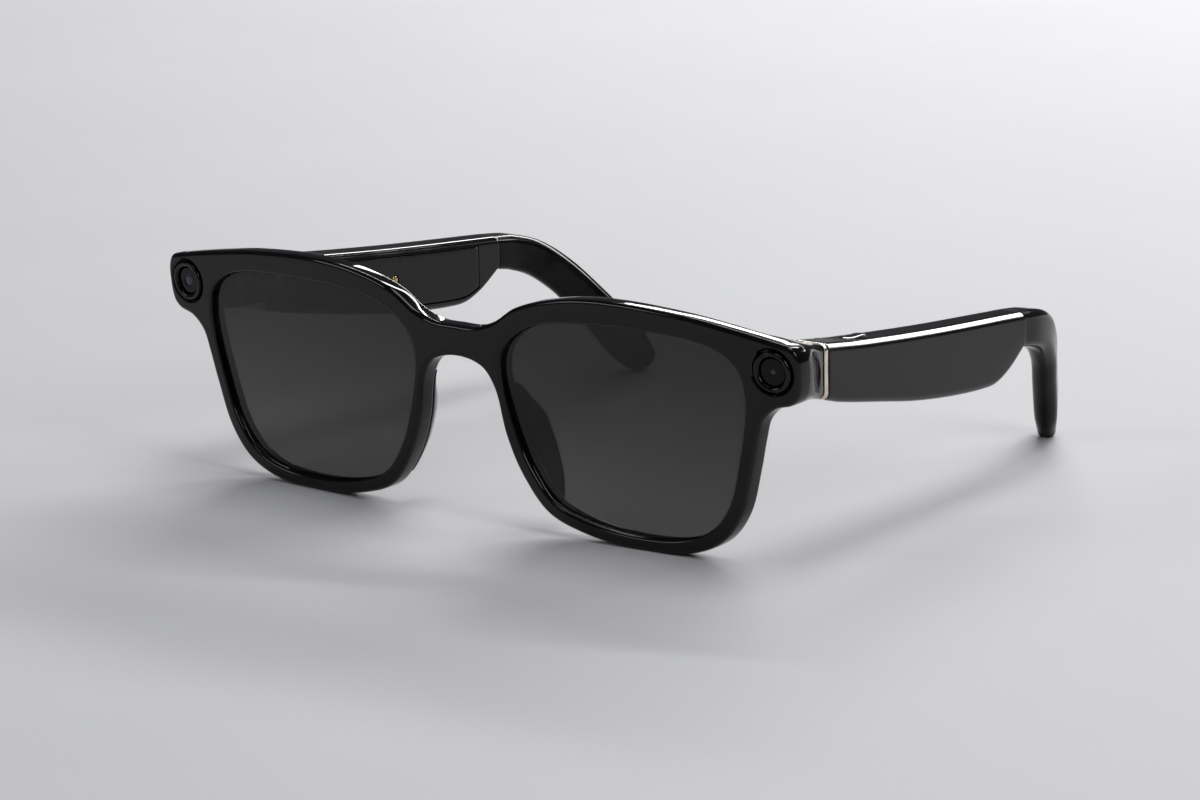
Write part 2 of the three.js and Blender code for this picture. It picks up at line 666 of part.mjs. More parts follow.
function templeShell(hasButton) {
  let shell = casingBody(casingStart, casingEnd, 15);
  const steps = 9;
  const open = shifted(innerX, -2);
  shell = shell.subtract(band(cavityStart, cavityEnd, open, roomInner, mouthLow, mouthHigh, steps));
  const [low, high] = [shifted(mouthLow, templeLedge), shifted(mouthHigh, -templeLedge)];
  const wall = shifted(outerX, -templeWall);
  const [start, end] = [cavityStart + templeLedge, cavityEnd - templeLedge];
  shell = shell.subtract(band(start, end, innerX, wall, low, high, steps));
  shell = shell.subtract(hingeRoom());
  shell = shell.subtract(wire(coreCurve(cavityEnd - 2, 0.1), coreRadius + gap));
  const [x0, x1] = [shifted(grilleInner, -gap), shifted(grilleOuter, gap)];
  const slotTop = shifted(bottomZ, templeWall + templeLedge + 0.5);
  shell = shell.subtract(band(speakerFrom, speakerTo, x0, x1, shifted(bottomZ, -1), slotTop, 4));
  const portAt = [microphoneX, microphoneY, bottomZ(microphoneY)];
  shell = shell.subtract(turned(rod(microphonePort, -1, 4), "z", portAt, 10));
  return hasButton ? shell.subtract(buttonHole()) : shell;
}

const centreX = (y) => (innerX(y) + outerX(y)) / 2;
const grilleInner = shifted(centreX, -grilleWidth / 2);
const grilleOuter = shifted(centreX, grilleWidth / 2);
const microphoneX = centreX(microphoneY);

function speakerGrille() {
  const [low, high] = [shifted(bottomZ, 0.25), shifted(bottomZ, 1)];
  return band(speakerFrom + gap, speakerTo - gap, grilleInner, grilleOuter, low, high, 4);
}

function speaker() {
  const [low, high] = [shifted(roomLow, 0.4), shifted(roomLow, speakerHeight)];
  return band(speakerFrom - 0.6, speakerTo + 0.6, roomInner, roomOuter, low, high, 4);
}

function microphone() {
  const [x, y, z] = [microphoneX, microphoneY, roomLow(microphoneY) + 0.5];
  const [halfX, halfY] = [microphoneWidth / 2, microphoneLength / 2];
  return box(x - halfX, x + halfX, y - halfY, y + halfY, z, z + microphoneHeight);
}

function battery(from, to) {
  const [x0, x1] = [shifted(roomInner, 0.1), shifted(roomOuter, -0.1)];
  return band(along(from), along(to), x0, x1, shifted(roomLow, 0.5), shifted(roomHigh, -0.5), 4, 1);
}

function innerCover() {
  const [low, high] = [shifted(mouthLow, gap), shifted(mouthHigh, -gap)];
  return band(cavityStart + gap, cavityEnd - gap, innerX, coverInner, low, high, 12);
}

const endTrim = () => casingBody(hingePlane + gap / 2, casingStart - gap, 1).subtract(hingeRoom());

const tipCore = () => wire(coreCurve(cavityEnd + 0.6, 0.58), coreRadius);

const middleZ = (y) => (topZ(y) + bottomZ(y)) / 2;
const contactAt = (i) => [coverInner(contactY), contactY + (i - 0.5) * pinSpacing, middleZ(contactY)];

function contactPin(i) {
  const [x, y, z] = contactAt(i);
  const face = innerX(y) - x;
  const profile = [[0, face - 0.1], [contactRadius, face - 0.1], [contactRadius, 0.15], [0, 0.15]];
  return turned(profile, "x", [x, y, z], 14);
}

const contactHoles = () =>
  [0, 1].map((i) => turned(rod(contactRadius + gap, -4, 2), "x", contactAt(i), 14));

function contactBoard() {
  const [x, y, z] = contactAt(0.5);
  const halfY = pinSpacing / 2 + boardEdge;
  return box(x + 0.6, x + 1.4, y - halfY, y + halfY, z - boardHeight / 2, z + boardHeight / 2);
}

function mainBoard() {
  const [x0, x1] = [shifted(roomOuter, -1.9), shifted(roomOuter, -0.9)];
  const start = microphoneY + microphoneLength / 2 + gap;
  return band(start, along(0.42), x0, x1, shifted(roomLow, 2.4), shifted(roomHigh, -0.4), 3);
}

function processor() {
  const [x0, x1] = [shifted(roomOuter, -3.3), shifted(roomOuter, -2.2)];
  return band(along(0.26), along(0.35), x0, x1, shifted(middleZ, -1.6), shifted(middleZ, 2.2));
}

function touchSensor() {
  const [x0, x1] = [shifted(roomOuter, -0.3), shifted(roomOuter, 0.05)];
  return band(along(0.2), along(0.62), x0, x1, shifted(roomLow, 0.8), shifted(roomHigh, -0.8), 4);
}

// ---- the assembly ----
const glasses = new THREE.Group();

function put(group, name, body, material) {
  const mesh = new THREE.Mesh(geometryOf(body), material);
  mesh.geometry.computeVertexNormals();
  mesh.name = name;
  group.add(mesh);
}

function addFront() {
  put(glasses, "front_frame", frontFrame(), glossBlack);
  put(glasses, "brow_cover", browCover(), satinBlack);
  put(glasses, "front_flex_cable", flexCable(), gold);
}

// Both sides use one set of functions; the wearer's right side is the mirrored group.
function addSide(sideName, isLeft) {
  const group = new THREE.Group();
  if (!isLeft) group.scale.x = -1;
  glasses.add(group);
  const add = (name, body, material) => put(group, name + "_" + sideName, body, material);
  add("lens", lens(), smokeLens);
  add("nose_pad", nosePad(), softBlack);
  add("camera_bezel", cameraBezel(), glossBlack);
  add("camera_window", cameraWindow(), windowGlass);
  add(isLeft ? "light_sensor_module" : "camera_module", cameraModule(), satinBlack);
  add("hinge_front_leaf", frontLeaf(), paleMetal);
  add("hinge_front_screw", frontLeafScrew(), steel);
  add("hinge_pin", hingePin(), steel);
  add("hinge_temple_leaf", templeLeaf(), paleMetal);
  add("hinge_temple_screw", templeLeafScrew(), steel);
  add("temple_trim", endTrim(), paleMetal);
  add("temple_shell", templeShell(isLeft), satinBlack);
  let cover = innerCover();
  if (!isLeft) for (const hole of contactHoles()) cover = cover.subtract(hole);
  add("temple_inner_cover", cover, glossBlack);
  add("temple_tip", templeTip(), softBlack);
  add("tip_core_wire", tipCore(), steel);
  add("speaker", speaker(), satinBlack);
  add("speaker_grille", speakerGrille(), steel);
  add("microphone", microphone(), foil);
  if (isLeft) {
    add("battery", battery(0.34, 0.64), foil);
    add("capture_button", captureButton(), glossBlack);
    add("capture_switch", captureSwitch(), steel);
    return;
  }
  add("main_board", mainBoard(), boardGreen);
  add("processor", processor(), satinBlack);
  add("touch_sensor", touchSensor(), gold);
  add("charging_board", contactBoard(), boardGreen);
  for (const i of [0, 1]) add(["charging_contact_front", "charging_contact_rear"][i], contactPin(i), gold);
}

addFront();
addSide("left", true);
addSide("right", false);

// The origin is on the floor under the middle of the whole.
const extent = new THREE.Box3().setFromObject(glasses);
glasses.position.y = -extent.getCenter(new THREE.Vector3()).y;

export default glasses;
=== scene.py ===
import math

import bmesh
import bpy
import numpy as np
from mathutils import Matrix, Vector


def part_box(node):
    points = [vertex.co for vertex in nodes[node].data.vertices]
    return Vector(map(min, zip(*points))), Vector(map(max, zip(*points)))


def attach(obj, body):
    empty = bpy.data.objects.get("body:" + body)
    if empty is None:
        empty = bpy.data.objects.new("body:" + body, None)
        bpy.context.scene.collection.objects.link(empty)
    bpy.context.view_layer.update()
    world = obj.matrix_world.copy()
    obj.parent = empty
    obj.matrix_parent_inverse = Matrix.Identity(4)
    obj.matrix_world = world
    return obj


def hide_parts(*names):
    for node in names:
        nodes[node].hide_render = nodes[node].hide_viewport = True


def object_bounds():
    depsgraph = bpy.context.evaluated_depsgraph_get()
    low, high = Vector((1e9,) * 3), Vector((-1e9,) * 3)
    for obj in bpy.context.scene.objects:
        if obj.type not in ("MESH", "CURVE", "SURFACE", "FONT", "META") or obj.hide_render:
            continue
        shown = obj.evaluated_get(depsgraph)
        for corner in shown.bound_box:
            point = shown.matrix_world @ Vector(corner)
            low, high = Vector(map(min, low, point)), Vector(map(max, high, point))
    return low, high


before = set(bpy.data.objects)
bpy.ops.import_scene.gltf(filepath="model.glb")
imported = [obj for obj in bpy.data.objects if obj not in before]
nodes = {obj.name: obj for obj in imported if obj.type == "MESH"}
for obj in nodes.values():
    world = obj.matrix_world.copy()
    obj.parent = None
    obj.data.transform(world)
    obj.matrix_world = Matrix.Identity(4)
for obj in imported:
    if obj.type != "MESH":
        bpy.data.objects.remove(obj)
cadLow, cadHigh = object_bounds()
mm = 0.001
print("frame loaded with", len(nodes), "nodes")


def boxOf(node):  # in millimetres
    low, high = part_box(node)
    return low / mm, high / mm


# places that come from the frame
frontShape = {
    "hingeDepth": 13.0,  # from the front's face at the bridge back to the hinge pins
    "wrap": 0.00084,  # the face goes back by this times x squared
    "lean": -0.091,  # and forward by this for each unit of height
    "thickness": 3.8,
    "rimSide": 2.8,
    "rimBottom": 2.3,
    "rimFlat": 0.12,  # cut off flat where the rims stand
    "edgeRound": 0.85,
    "backRound": 0.7,
    "openingRound": 0.5,
    "lensThickness": 1.8,
    "lensBite": 0.5,
    "gap": 0.3,
    "stations": 440,
    "middleStations": 11,
    "faceRings": 9,
    "roundSteps": 6,
}
pinLow, pinHigh = boxOf("hinge_pin_left")
hingePlane = (pinLow.y + pinHigh.y) / 2
frontPlane = hingePlane - frontShape["hingeDepth"]
frameHigh = boxOf("front_frame")[1]
halfFront, browTop = frameHigh.x, frameHigh.z
lensLow, lensHigh = boxOf("lens_left")
lensCentre = np.array([(lensLow.x + lensHigh.x) / 2, (lensLow.z + lensHigh.z) / 2])
lensHalf = np.array([lensHigh.x - lensLow.x, lensHigh.z - lensLow.z]) / 2 - frontShape["lensBite"]
noseX = lensCentre[0] - lensHalf[0]
bezelLow, bezelHigh = boxOf("camera_bezel_left")
cameraX, cameraZ = (bezelLow.x + bezelHigh.x) / 2, (bezelLow.z + bezelHigh.z) / 2
trimLow, trimHigh = boxOf("temple_trim_left")
shellLow = boxOf("temple_shell_left")[0]
hingeOuter, hingeInner = trimHigh.x, trimLow.x
hingeTop, hingeBottom = trimHigh.z, trimLow.z


# curves
def smooth(points):  # a smooth height over distance, through (distance, height) pairs
    places = np.array(points, float)
    x, y = places[:, 0], places[:, 1]
    slope = np.empty(len(x))
    slope[1:-1] = (y[2:] - y[:-2]) / (x[2:] - x[:-2])
    slope[0] = (y[1] - y[0]) / (x[1] - x[0])
    slope[-1] = (y[-1] - y[-2]) / (x[-1] - x[-2])

    def height(at):
        if at <= x[0]:
            return y[0] + slope[0] * (at - x[0])
        i = min(int(np.searchsorted(x, at)) - 1, len(x) - 2)
        span = x[i + 1] - x[i]
        t = (at - x[i]) / span
        rise = (3 - 2 * t) * t * t
        return (
            (1 - rise) * y[i]
            + rise * y[i + 1]
            + (t**3 - 2 * t**2 + t) * span * slope[i]
            + (t**3 - t**2) * span * slope[i + 1]
        )

    return height


def curveThrough(points, closed=False, steps=48):  # centripetal, as a fine row of points
    places = [np.array(p, float) for p in points]
    count = len(places)
    fine = []
    for i in range(count if closed else count - 1):
        b, c = places[i], places[(i + 1) % count]
        a = places[i - 1] if closed or i > 0 else 2 * b - c
        d = places[(i + 2) % count] if closed or i + 2 < count else 2 * c - b
        ab, bc, cd = (max(np.linalg.norm(q - p), 1e-6) ** 0.5 for p, q in ((a, b), (b, c), (c, d)))
        leave = ((b - a) / ab - (c - a) / (ab + bc) + (c - b) / bc) * bc
        arrive = ((c - b) / bc - (d - b) / (bc + cd) + (d - c) / cd) * bc
        t = np.arange(steps)[:, None] / steps
        fine.append(
            (2 * t**3 - 3 * t**2 + 1) * b
            + (t**3 - 2 * t**2 + t) * leave
            + (3 * t**2 - 2 * t**3) * c
            + (t**3 - t**2) * arrive
        )
    fine.append(places[0 if closed else -1][None, :])
    return np.concatenate(fine)


def lengthsAlong(fine):
    return np.concatenate([[0], np.cumsum(np.linalg.norm(np.diff(fine, axis=0), axis=1))])


def evenly(fine, count):  # points at equal steps, both ends among them
    lengths = lengthsAlong(fine)
    at = np.linspace(0, lengths[-1], count)
    return np.stack([np.interp(at, lengths, fine[:, k]) for k in range(fine.shape[1])], axis=1)


def leftNormals(row, closed):  # of a clockwise loop these point outwards
    if closed:
        ahead = np.roll(row, -1, axis=0) - np.roll(row, 1, axis=0)
    else:
        ahead = np.gradient(row, axis=0)
    ahead /= np.linalg.norm(ahead, axis=1)[:, None]
    return np.stack([-ahead[:, 1], ahead[:, 0]], axis=1)


# meshes
def newObject(name, points, faces):  # points in millimetres
    mesh = bpy.data.meshes.new(name)
    mesh.from_pydata([tuple(p) for p in np.asarray(points, float) * mm], [], faces)
    piece = bpy.data.objects.new(name, mesh)
    bpy.context.scene.collection.objects.link(piece)
    return piece


def tidy(piece, merge=1e-7, outward=True):
    work = bmesh.new()
    work.from_mesh(piece.data)
    bmesh.ops.remove_doubles(work, verts=work.verts, dist=merge)
    loose = [v for v in work.verts if not v.link_faces]
    bmesh.ops.delete(work, geom=loose, context="VERTS")
    if outward:
        bmesh.ops.recalc_face_normals(work, faces=work.faces)
    work.to_mesh(piece.data)
    work.free()
    return piece


def loft(name, rings, closeEnds=True):  # rings of points joined into one closed body
    rings = np.asarray(rings, float)
    rows, count = rings.shape[:2]
    faces = []
    for i in range(rows - 1):
        for j in range(count):
            k = (j + 1) % count
            faces.append((i * count + j, i * count + k, (i + 1) * count + k, (i + 1) * count + j))
    points = rings.reshape(-1, 3)
    if closeEnds:
        ends = [rings[0].mean(0), rings[-1].mean(0)]
        points = np.concatenate([points, ends])
        last = (rows - 1) * count
        for j in range(count):
            k = (j + 1) % count
            faces.append((k, j, rows * count))
            faces.append((last + j, last + k, rows * count + 1))
    return tidy(newObject(name, points, faces))


def turned(name, profile, centre, axis, count=72):  # (radius, distance) pairs turned about an axis
    profile = np.asarray(profile, float)
    angles = np.linspace(0, 2 * math.pi, count, endpoint=False)
    r, d = profile[:, 0][:, None], profile[:, 1][:, None]
    across, up, ahead = r * np.cos(angles), r * np.sin(angles), d + 0 * angles
    order = {"x": (ahead, across, up), "y": (across, ahead, up), "z": (across, up, ahead)}[axis]
    rings = np.stack(order, axis=-1) + np.array(centre, float)
    onAxis = profile[0][0] < 1e-9
    if onAxis:
        return loft(name, rings)
    return loft(name, np.concatenate([rings, rings[:1]]), closeEnds=False)


def rounded(points, radius, steps=5):  # a profile with its inner corners rounded
    row = [np.array(points[0], float)]
    for a, b, c in zip(points, points[1:], points[2:]):
        a, b, c = (np.array(p, float) for p in (a, b, c))
        reach = min(radius, np.linalg.norm(a - b) * 0.45, np.linalg.norm(c - b) * 0.45)
        start = b + (a - b) / np.linalg.norm(a - b) * reach
        end = b + (c - b) / np.linalg.norm(c - b) * reach
        for i in range(steps + 1):
            t = i / steps
            row.append((1 - t) ** 2 * start + 2 * t * (1 - t) * b + t * t * end)
    row.append(np.array(points[-1], float))
    return row


def roundedRing(x0, x1, z0, z1, radius, arc=7, flat=4):  # round a rectangle, as (x, z) pairs
    r = min(radius, (x1 - x0) * 0.46, (z1 - z0) * 0.46)
    corners = [(x1 - r, z0 + r, -90), (x1 - r, z1 - r, 0), (x0 + r, z1 - r, 90), (x0 + r, z0 + r, 180)]
    ring = []
    for x, z, start in corners:
        for step in range(arc + 1):
            angle = math.radians(start + 90 * step / arc)
            ring.append((x + r * math.cos(angle), z + r * math.sin(angle)))
    full = []
    for i, point in enumerate(ring):
        full.append(point)
        if (i + 1) % (arc + 1) == 0:
            after = ring[(i + 1) % len(ring)]
            for k in range(1, flat):
                t = k / flat
                full.append((point[0] * (1 - t) + after[0] * t, point[1] * (1 - t) + after[1] * t))
    return full


def bent(piece):  # moves a flat piece onto the wrapped, leaning front
    for v in piece.data.vertices:
        x, z = v.co.x / mm, v.co.z / mm
        v.co.y += (frontPlane + frontShape["wrap"] * x * x + frontShape["lean"] * z) * mm
    return piece


def flipped(piece, name):  # the same piece on the other side
    mesh = piece.data.copy()
    mesh.name = name
    for v in mesh.vertices:
        v.co.x = -v.co.x
    mesh.flip_normals()
    twin = bpy.data.objects.new(name, mesh)
    bpy.context.scene.collection.objects.link(twin)
    return twin


def combine(piece, other, operation="DIFFERENCE"):
    modifier = piece.modifiers.new(operation, "BOOLEAN")
    modifier.object = other
    modifier.operation = operation
    modifier.solver = "EXACT"
    graph = bpy.context.evaluated_depsgraph_get()
    made = bpy.data.meshes.new_from_object(piece.evaluated_get(graph))
    piece.modifiers.clear()
    piece.data = made
    bpy.data.objects.remove(other)
    return piece


def creased(piece, angle=32):  # smooth shading, with the edges past this angle left sharp
    work = bmesh.new()
    work.from_mesh(piece.data)
    for face in work.faces:
        face.smooth = True
    limit = math.radians(angle)
    for edge in work.edges:
        edge.smooth = not (edge.is_manifold and edge.calc_face_angle(0) > limit)
    work.to_mesh(piece.data)
    work.free()
    return piece


def fit(piece, body, finish, *replaced, slot=None):
    piece.data.materials.clear()
    piece.data.materials.append(finish)
    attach(piece, body)
    if replaced:
        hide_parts(*replaced)
    return piece


# shader maths
class Flow:
    # one output socket, so that maths on it is written as an expression
    def __init__(self, owner, socket):
        self.owner, self.socket = owner, socket

    def maths(self, operation, a, b):
        return self.owner.node("ShaderNodeMath", {"operation": operation}, {0: a, 1: b})

    def __add__(self, other):
        return self.maths("ADD", self, other)

    def __radd__(self, other):
        return self.maths("ADD", other, self)

    def __sub__(self, other):
        return self.maths("SUBTRACT", self, other)

    def __rsub__(self, other):
        return self.maths("SUBTRACT", other, self)

    def __mul__(self, other):
        return self.maths("MULTIPLY", self, other)

    def __rmul__(self, other):
        return self.maths("MULTIPLY", other, self)


class Finish:
    # a material that is put together from one shader and what varies over its surface
    def __init__(self, name, **constants):
        self.material = bpy.data.materials.new(name)
        self.material.use_nodes = True
        self.tree = self.material.node_tree
        self.shader = self.tree.nodes["Principled BSDF"]
        for socket, value in constants.items():
            self.shader.inputs[socket.replace("_", " ")].default_value = value

    def node(self, kind, settings=None, inputs=None, output=0):
        made = self.tree.nodes.new(kind)
        for key, value in (settings or {}).items():
            setattr(made, key, value)
        for key, value in (inputs or {}).items():
            if isinstance(value, Flow):
                self.tree.links.new(value.socket, made.inputs[key])
            else:
                made.inputs[key].default_value = value
        return Flow(self, made.outputs[output])

    def feed(self, **sockets):
        for socket, value in sockets.items():
            self.tree.links.new(value.socket, self.shader.inputs[socket.replace("_", " ")])
        return self.material

    def place(self, stretch=(1, 1, 1)):  # the piece's own coordinates
        found = self.node("ShaderNodeTexCoord", output="Object")
        return self.node("ShaderNodeMapping", {}, {"Vector": found, "Scale": stretch})

    def noise(self, size, detail=3, stretch=(1, 1, 1), roughness=0.5):  # size in millimetres
        inputs = {"Vector": self.place(stretch), "Scale": 1 / (size * mm)}
        inputs.update({"Detail": detail, "Roughness": roughness})
        return self.node("ShaderNodeTexNoise", {"noise_dimensions": "3D"}, inputs)

    def between(self, value, low, high, to=(0, 1)):
        inputs = {"Value": value, "From Min": low, "From Max": high, "To Min": to[0], "To Max": to[1]}
        return self.node("ShaderNodeMapRange", {"interpolation_type": "SMOOTHSTEP"}, inputs)

    def blend(self, factor, first, second):
        settings = {"data_type": "RGBA", "clamp_factor": True}
        made = self.node("ShaderNodeMix", settings, {"Factor": factor}, output="Result")
        mix = made.socket.node
        for key, shade in (("A", first), ("B", second)):
            socket = next(s for s in mix.inputs if s.name == key and s.type == "RGBA")
            if isinstance(shade, Flow):
                self.tree.links.new(shade.socket, socket)
            else:
                socket.default_value = (*shade, 1)
        return Flow(self, next(s for s in mix.outputs if s.type == "RGBA"))

    def bump(self, height, strength, depth):  # depth in millimetres
        inputs = {"Strength": strength, "Distance": depth * mm, "Height": height}
        return self.node("ShaderNodeBump", {}, inputs)


# finishes
glossValues = {
    "shade": (0.0022, 0.0022, 0.0026),
    "worn": (0.006, 0.006, 0.007),
    "roughness": 0.04,
    "smear": 0.05,  # how much the handled patches dull it
    "swirl": 0.02,
}


def glossPlastic(name, values):
    # moulded and polished: handled patches, fine polishing swirls, a few specks of dust
    made = Finish(name, IOR=1.37)
    patches = made.between(made.noise(9, 4), 0.45, 0.72)
    swirls = made.noise(0.9, 2, (1, 1, 9))
    specks = made.between(made.noise(0.42, 1), 0.79, 0.83)
    rough = values["roughness"] + patches * values["smear"] + swirls * values["swirl"] + specks * 0.35
    ripple = made.noise(2.6, 2) * 0.5 + swirls * 0.02
    return made.feed(
        Base_Color=made.blend(patches * 0.35 + specks * 0.8, values["shade"], values["worn"]),
        Roughness=rough,
        Normal=made.bump(ripple, 0.12, 0.01),
    )


satinValues = {
    "shade": (0.003, 0.003, 0.0034),
    "worn": (0.007, 0.007, 0.008),
    "side": 0.2,  # roughness of the broad faces
    "top": 0.05,  # roughness of the polished top
    "grain": 0.22,
}


def satinPlastic(name, values):
    # fine spark grain on the broad faces, polished along the top
    made = Finish(name, IOR=1.37)
    facing = made.node("ShaderNodeNewGeometry", output="Normal")
    upward = made.node("ShaderNodeSeparateXYZ", {}, {0: facing}, output="Z")
    polished = made.between(upward, 0.25, 0.75)
    patches = made.between(made.noise(12, 3), 0.42, 0.7)
    grain = made.noise(values["grain"], 2)
    rough = values["side"] - polished * (values["side"] - values["top"]) + patches * 0.06
    height = grain * (1 - polished)
    return made.feed(
        Base_Color=made.blend(patches * 0.6, values["shade"], values["worn"]),
        Roughness=rough,
        Normal=made.bump(height, 0.16, 0.012),
    )


softValues = {"shade": (0.003, 0.003, 0.0034), "worn": (0.007, 0.007, 0.008), "roughness": 0.13, "grain": 0.3}


def tipPlastic(name, values):
    # polished where fingers and ears rub it, a little duller elsewhere
    made = Finish(name, IOR=1.22)
    rubbed = made.between(made.noise(7, 3), 0.4, 0.66)
    grain = made.noise(values["grain"], 2)
    return made.feed(
        Base_Color=made.blend(rubbed, values["shade"], values["worn"]),
        Roughness=values["roughness"] - rubbed * 0.1 + grain * 0.06,
        Normal=made.bump(grain + made.noise(3, 2) * 2, 0.1, 0.01),
    )


# top and bottom are the lens's opacity at the brow and at its foot; the deeper top is painted shade
lensValues = {"shade": (0.006, 0.0065, 0.0075), "top": 0.86, "bottom": 0.72, "roughness": 0.015}


def smokedLens(name, values):
    # neutral grey, more opaque towards the brow as painted shade standing in for the dark reflection along
    # the top, with faint wipe marks
    made = Finish(name, IOR=1.42)
    height = made.node("ShaderNodeSeparateXYZ", {}, {0: made.place()}, output="Z")
    # painted shade: opacity rises towards the brow to stand in for the dark reflection along the lens top
    paintedBrowShade = made.between(height, lensLow.z * mm, lensHigh.z * mm, (values["bottom"], values["top"]))
    wiped = made.between(made.noise(6, 4, (1, 1, 3)), 0.5, 0.75)
    return made.feed(
        Base_Color=made.blend(wiped * 0.3, values["shade"], (0.012, 0.012, 0.014)),
        Roughness=values["roughness"] + wiped * 0.035,
        Alpha=paintedBrowShade,
        Normal=made.bump(made.noise(5, 1), 0.05, 0.01),
    )


def cameraGlass(name, shade, sheenShade, index):
    # coated cover glass over a dark well, with a few specks of dust, its colour turned towards a second
    # colour at glancing angles as a painted sheen
    made = Finish(name, IOR=index)
    sheen = made.node("ShaderNodeLayerWeight", {}, {"Blend": 0.35}, output="Facing")
    dust = made.between(made.noise(0.3, 1), 0.8, 0.84)
    # painted sheen: the base colour moves to the second colour where the glass is seen edge-on
    return made.feed(
        Base_Color=made.blend(sheen, shade, sheenShade),
        Roughness=0.03 + dust * 0.3,
        Normal=made.bump(made.noise(1.4, 1), 0.03, 0.01),
    )


def brushedMetal(name, shade, worn, roughness, stretch, grain=0.5):
    # drawn one way, with fine lines and a duller film in patches
    made = Finish(name, Metallic=1.0)
    lines = made.noise(grain, 4, stretch, 0.65)
    film = made.between(made.noise(3.5, 3), 0.45, 0.7)
    return made.feed(
        Base_Color=made.blend(film * 0.5 + lines * 0.25, shade, worn),
        Roughness=roughness + lines * 0.12 + film * 0.08,
        Normal=made.bump(lines, 0.25, 0.008),
    )


def wrappedFoil(name, shade, worn):
    # thin foil that creases as it is wrapped
    made = Finish(name, Metallic=0.85)
    creases = made.noise(1.6, 5, (1, 1, 1), 0.7)
    return made.feed(
        Base_Color=made.blend(made.between(creases, 0.35, 0.7), shade, worn),
        Roughness=0.28 + creases * 0.3,
        Normal=made.bump(creases, 0.5, 0.08),
    )


def circuitBoard(name):
    # solder mask over fine copper tracks
    made = Finish(name, IOR=1.5)
    settings = {"wave_type": "BANDS", "bands_direction": "DIAGONAL"}
    inputs = {"Vector": made.place(), "Scale": 900.0, "Distortion": 6.0, "Detail": 1.0}
    tracks = made.node("ShaderNodeTexWave", settings, inputs, output="Fac")
    mask = made.between(tracks, 0.55, 0.62)
    return made.feed(
        Base_Color=made.blend(mask, (0.006, 0.045, 0.02), (0.02, 0.1, 0.04)),
        Roughness=0.42 - mask * 0.12,
        Normal=made.bump(mask, 0.4, 0.03),
    )


def filmCable(name):
    # amber film with the lines of its conductors
    made = Finish(name, IOR=1.6)
    lines = made.noise(0.5, 1, (0.05, 1, 1))
    mask = made.between(lines, 0.45, 0.55)
    return made.feed(
        Base_Color=made.blend(mask, (0.23, 0.07, 0.012), (0.36, 0.13, 0.03)),
        Roughness=0.25 + mask * 0.15,
        Normal=made.bump(mask, 0.3, 0.02),
    )


frontGloss = glossPlastic("polished_black", glossValues)
padGloss = glossPlastic("pad_black", {**glossValues, "roughness": 0.1, "smear": 0.12})
bezelGloss = glossPlastic("bezel_black", {**glossValues, "roughness": 0.035, "smear": 0.03})
templeSatin = satinPlastic("temple_black", satinValues)
coverSatin = satinPlastic("cover_black", {**satinValues, "side": 0.24, "grain": 0.3})
channelSatin = satinPlastic("channel_black", {**satinValues, "side": 0.42, "top": 0.35})
tipSoft = tipPlastic("tip_black", softValues)
lensSmoke = smokedLens("smoked_lens", lensValues)
# each window's second colour is the painted sheen it takes on at glancing angles
windowDark = cameraGlass("window_dark", (0.0008, 0.0008, 0.0012), (0.003, 0.003, 0.005), 1.3)
windowBlue = cameraGlass("window_blue", (0.008, 0.016, 0.05), (0.03, 0.012, 0.05), 1.55)
sensorShades = {"shade": (0.045, 0.043, 0.042), "worn": (0.07, 0.066, 0.064)}
sensorGrey = glossPlastic("sensor_grey", {**glossValues, **sensorShades})
trimMetal = brushedMetal("champagne_trim", (0.82, 0.75, 0.64), (0.62, 0.55, 0.45), 0.16, (1, 6, 1))
leafMetal = brushedMetal("leaf_metal", (0.2, 0.19, 0.175), (0.1, 0.096, 0.09), 0.3, (1, 1, 7))
turnedSteel = brushedMetal("turned_steel", (0.6, 0.61, 0.63), (0.36, 0.37, 0.39), 0.24, (6, 6, 1))
meshSteel = brushedMetal("mesh_steel", (0.12, 0.12, 0.125), (0.05, 0.05, 0.055), 0.35, (1, 5, 1))
contactGold = brushedMetal("contact_gold", (0.62, 0.46, 0.23), (0.42, 0.3, 0.14), 0.18, (1, 3, 3))
cellFoil = wrappedFoil("cell_foil", (0.55, 0.56, 0.58), (0.33, 0.34, 0.36))
canFoil = wrappedFoil("can_foil", (0.62, 0.62, 0.6), (0.4, 0.4, 0.39))
boardGreen = circuitBoard("board_green")
amberFilm = filmCable("amber_film")
print("finishes made")


# the front's outlines, in x and z
lensShares = [
    (-0.44, 0.968), (-0.13, 0.995), (0.18, 1), (0.58, 0.973), (0.8, 0.9), (0.949, 0.747), (1, 0.466),
    (0.913, -0.186), (0.818, -0.574), (0.671, -0.822), (0.45, -0.957), (0.05, -1), (-0.37, -0.93),
    (-0.62, -0.8), (-0.8, -0.5), (-0.9, -0.186), (-1, 0.4), (-0.965, 0.62), (-0.84, 0.8), (-0.66, 0.915),
]
openingCurve = curveThrough([lensCentre + lensHalf * share for share in lensShares], closed=True)
opening = evenly(openingCurve, 2401)[:-1]
openingNormals = leftNormals(opening, closed=True)


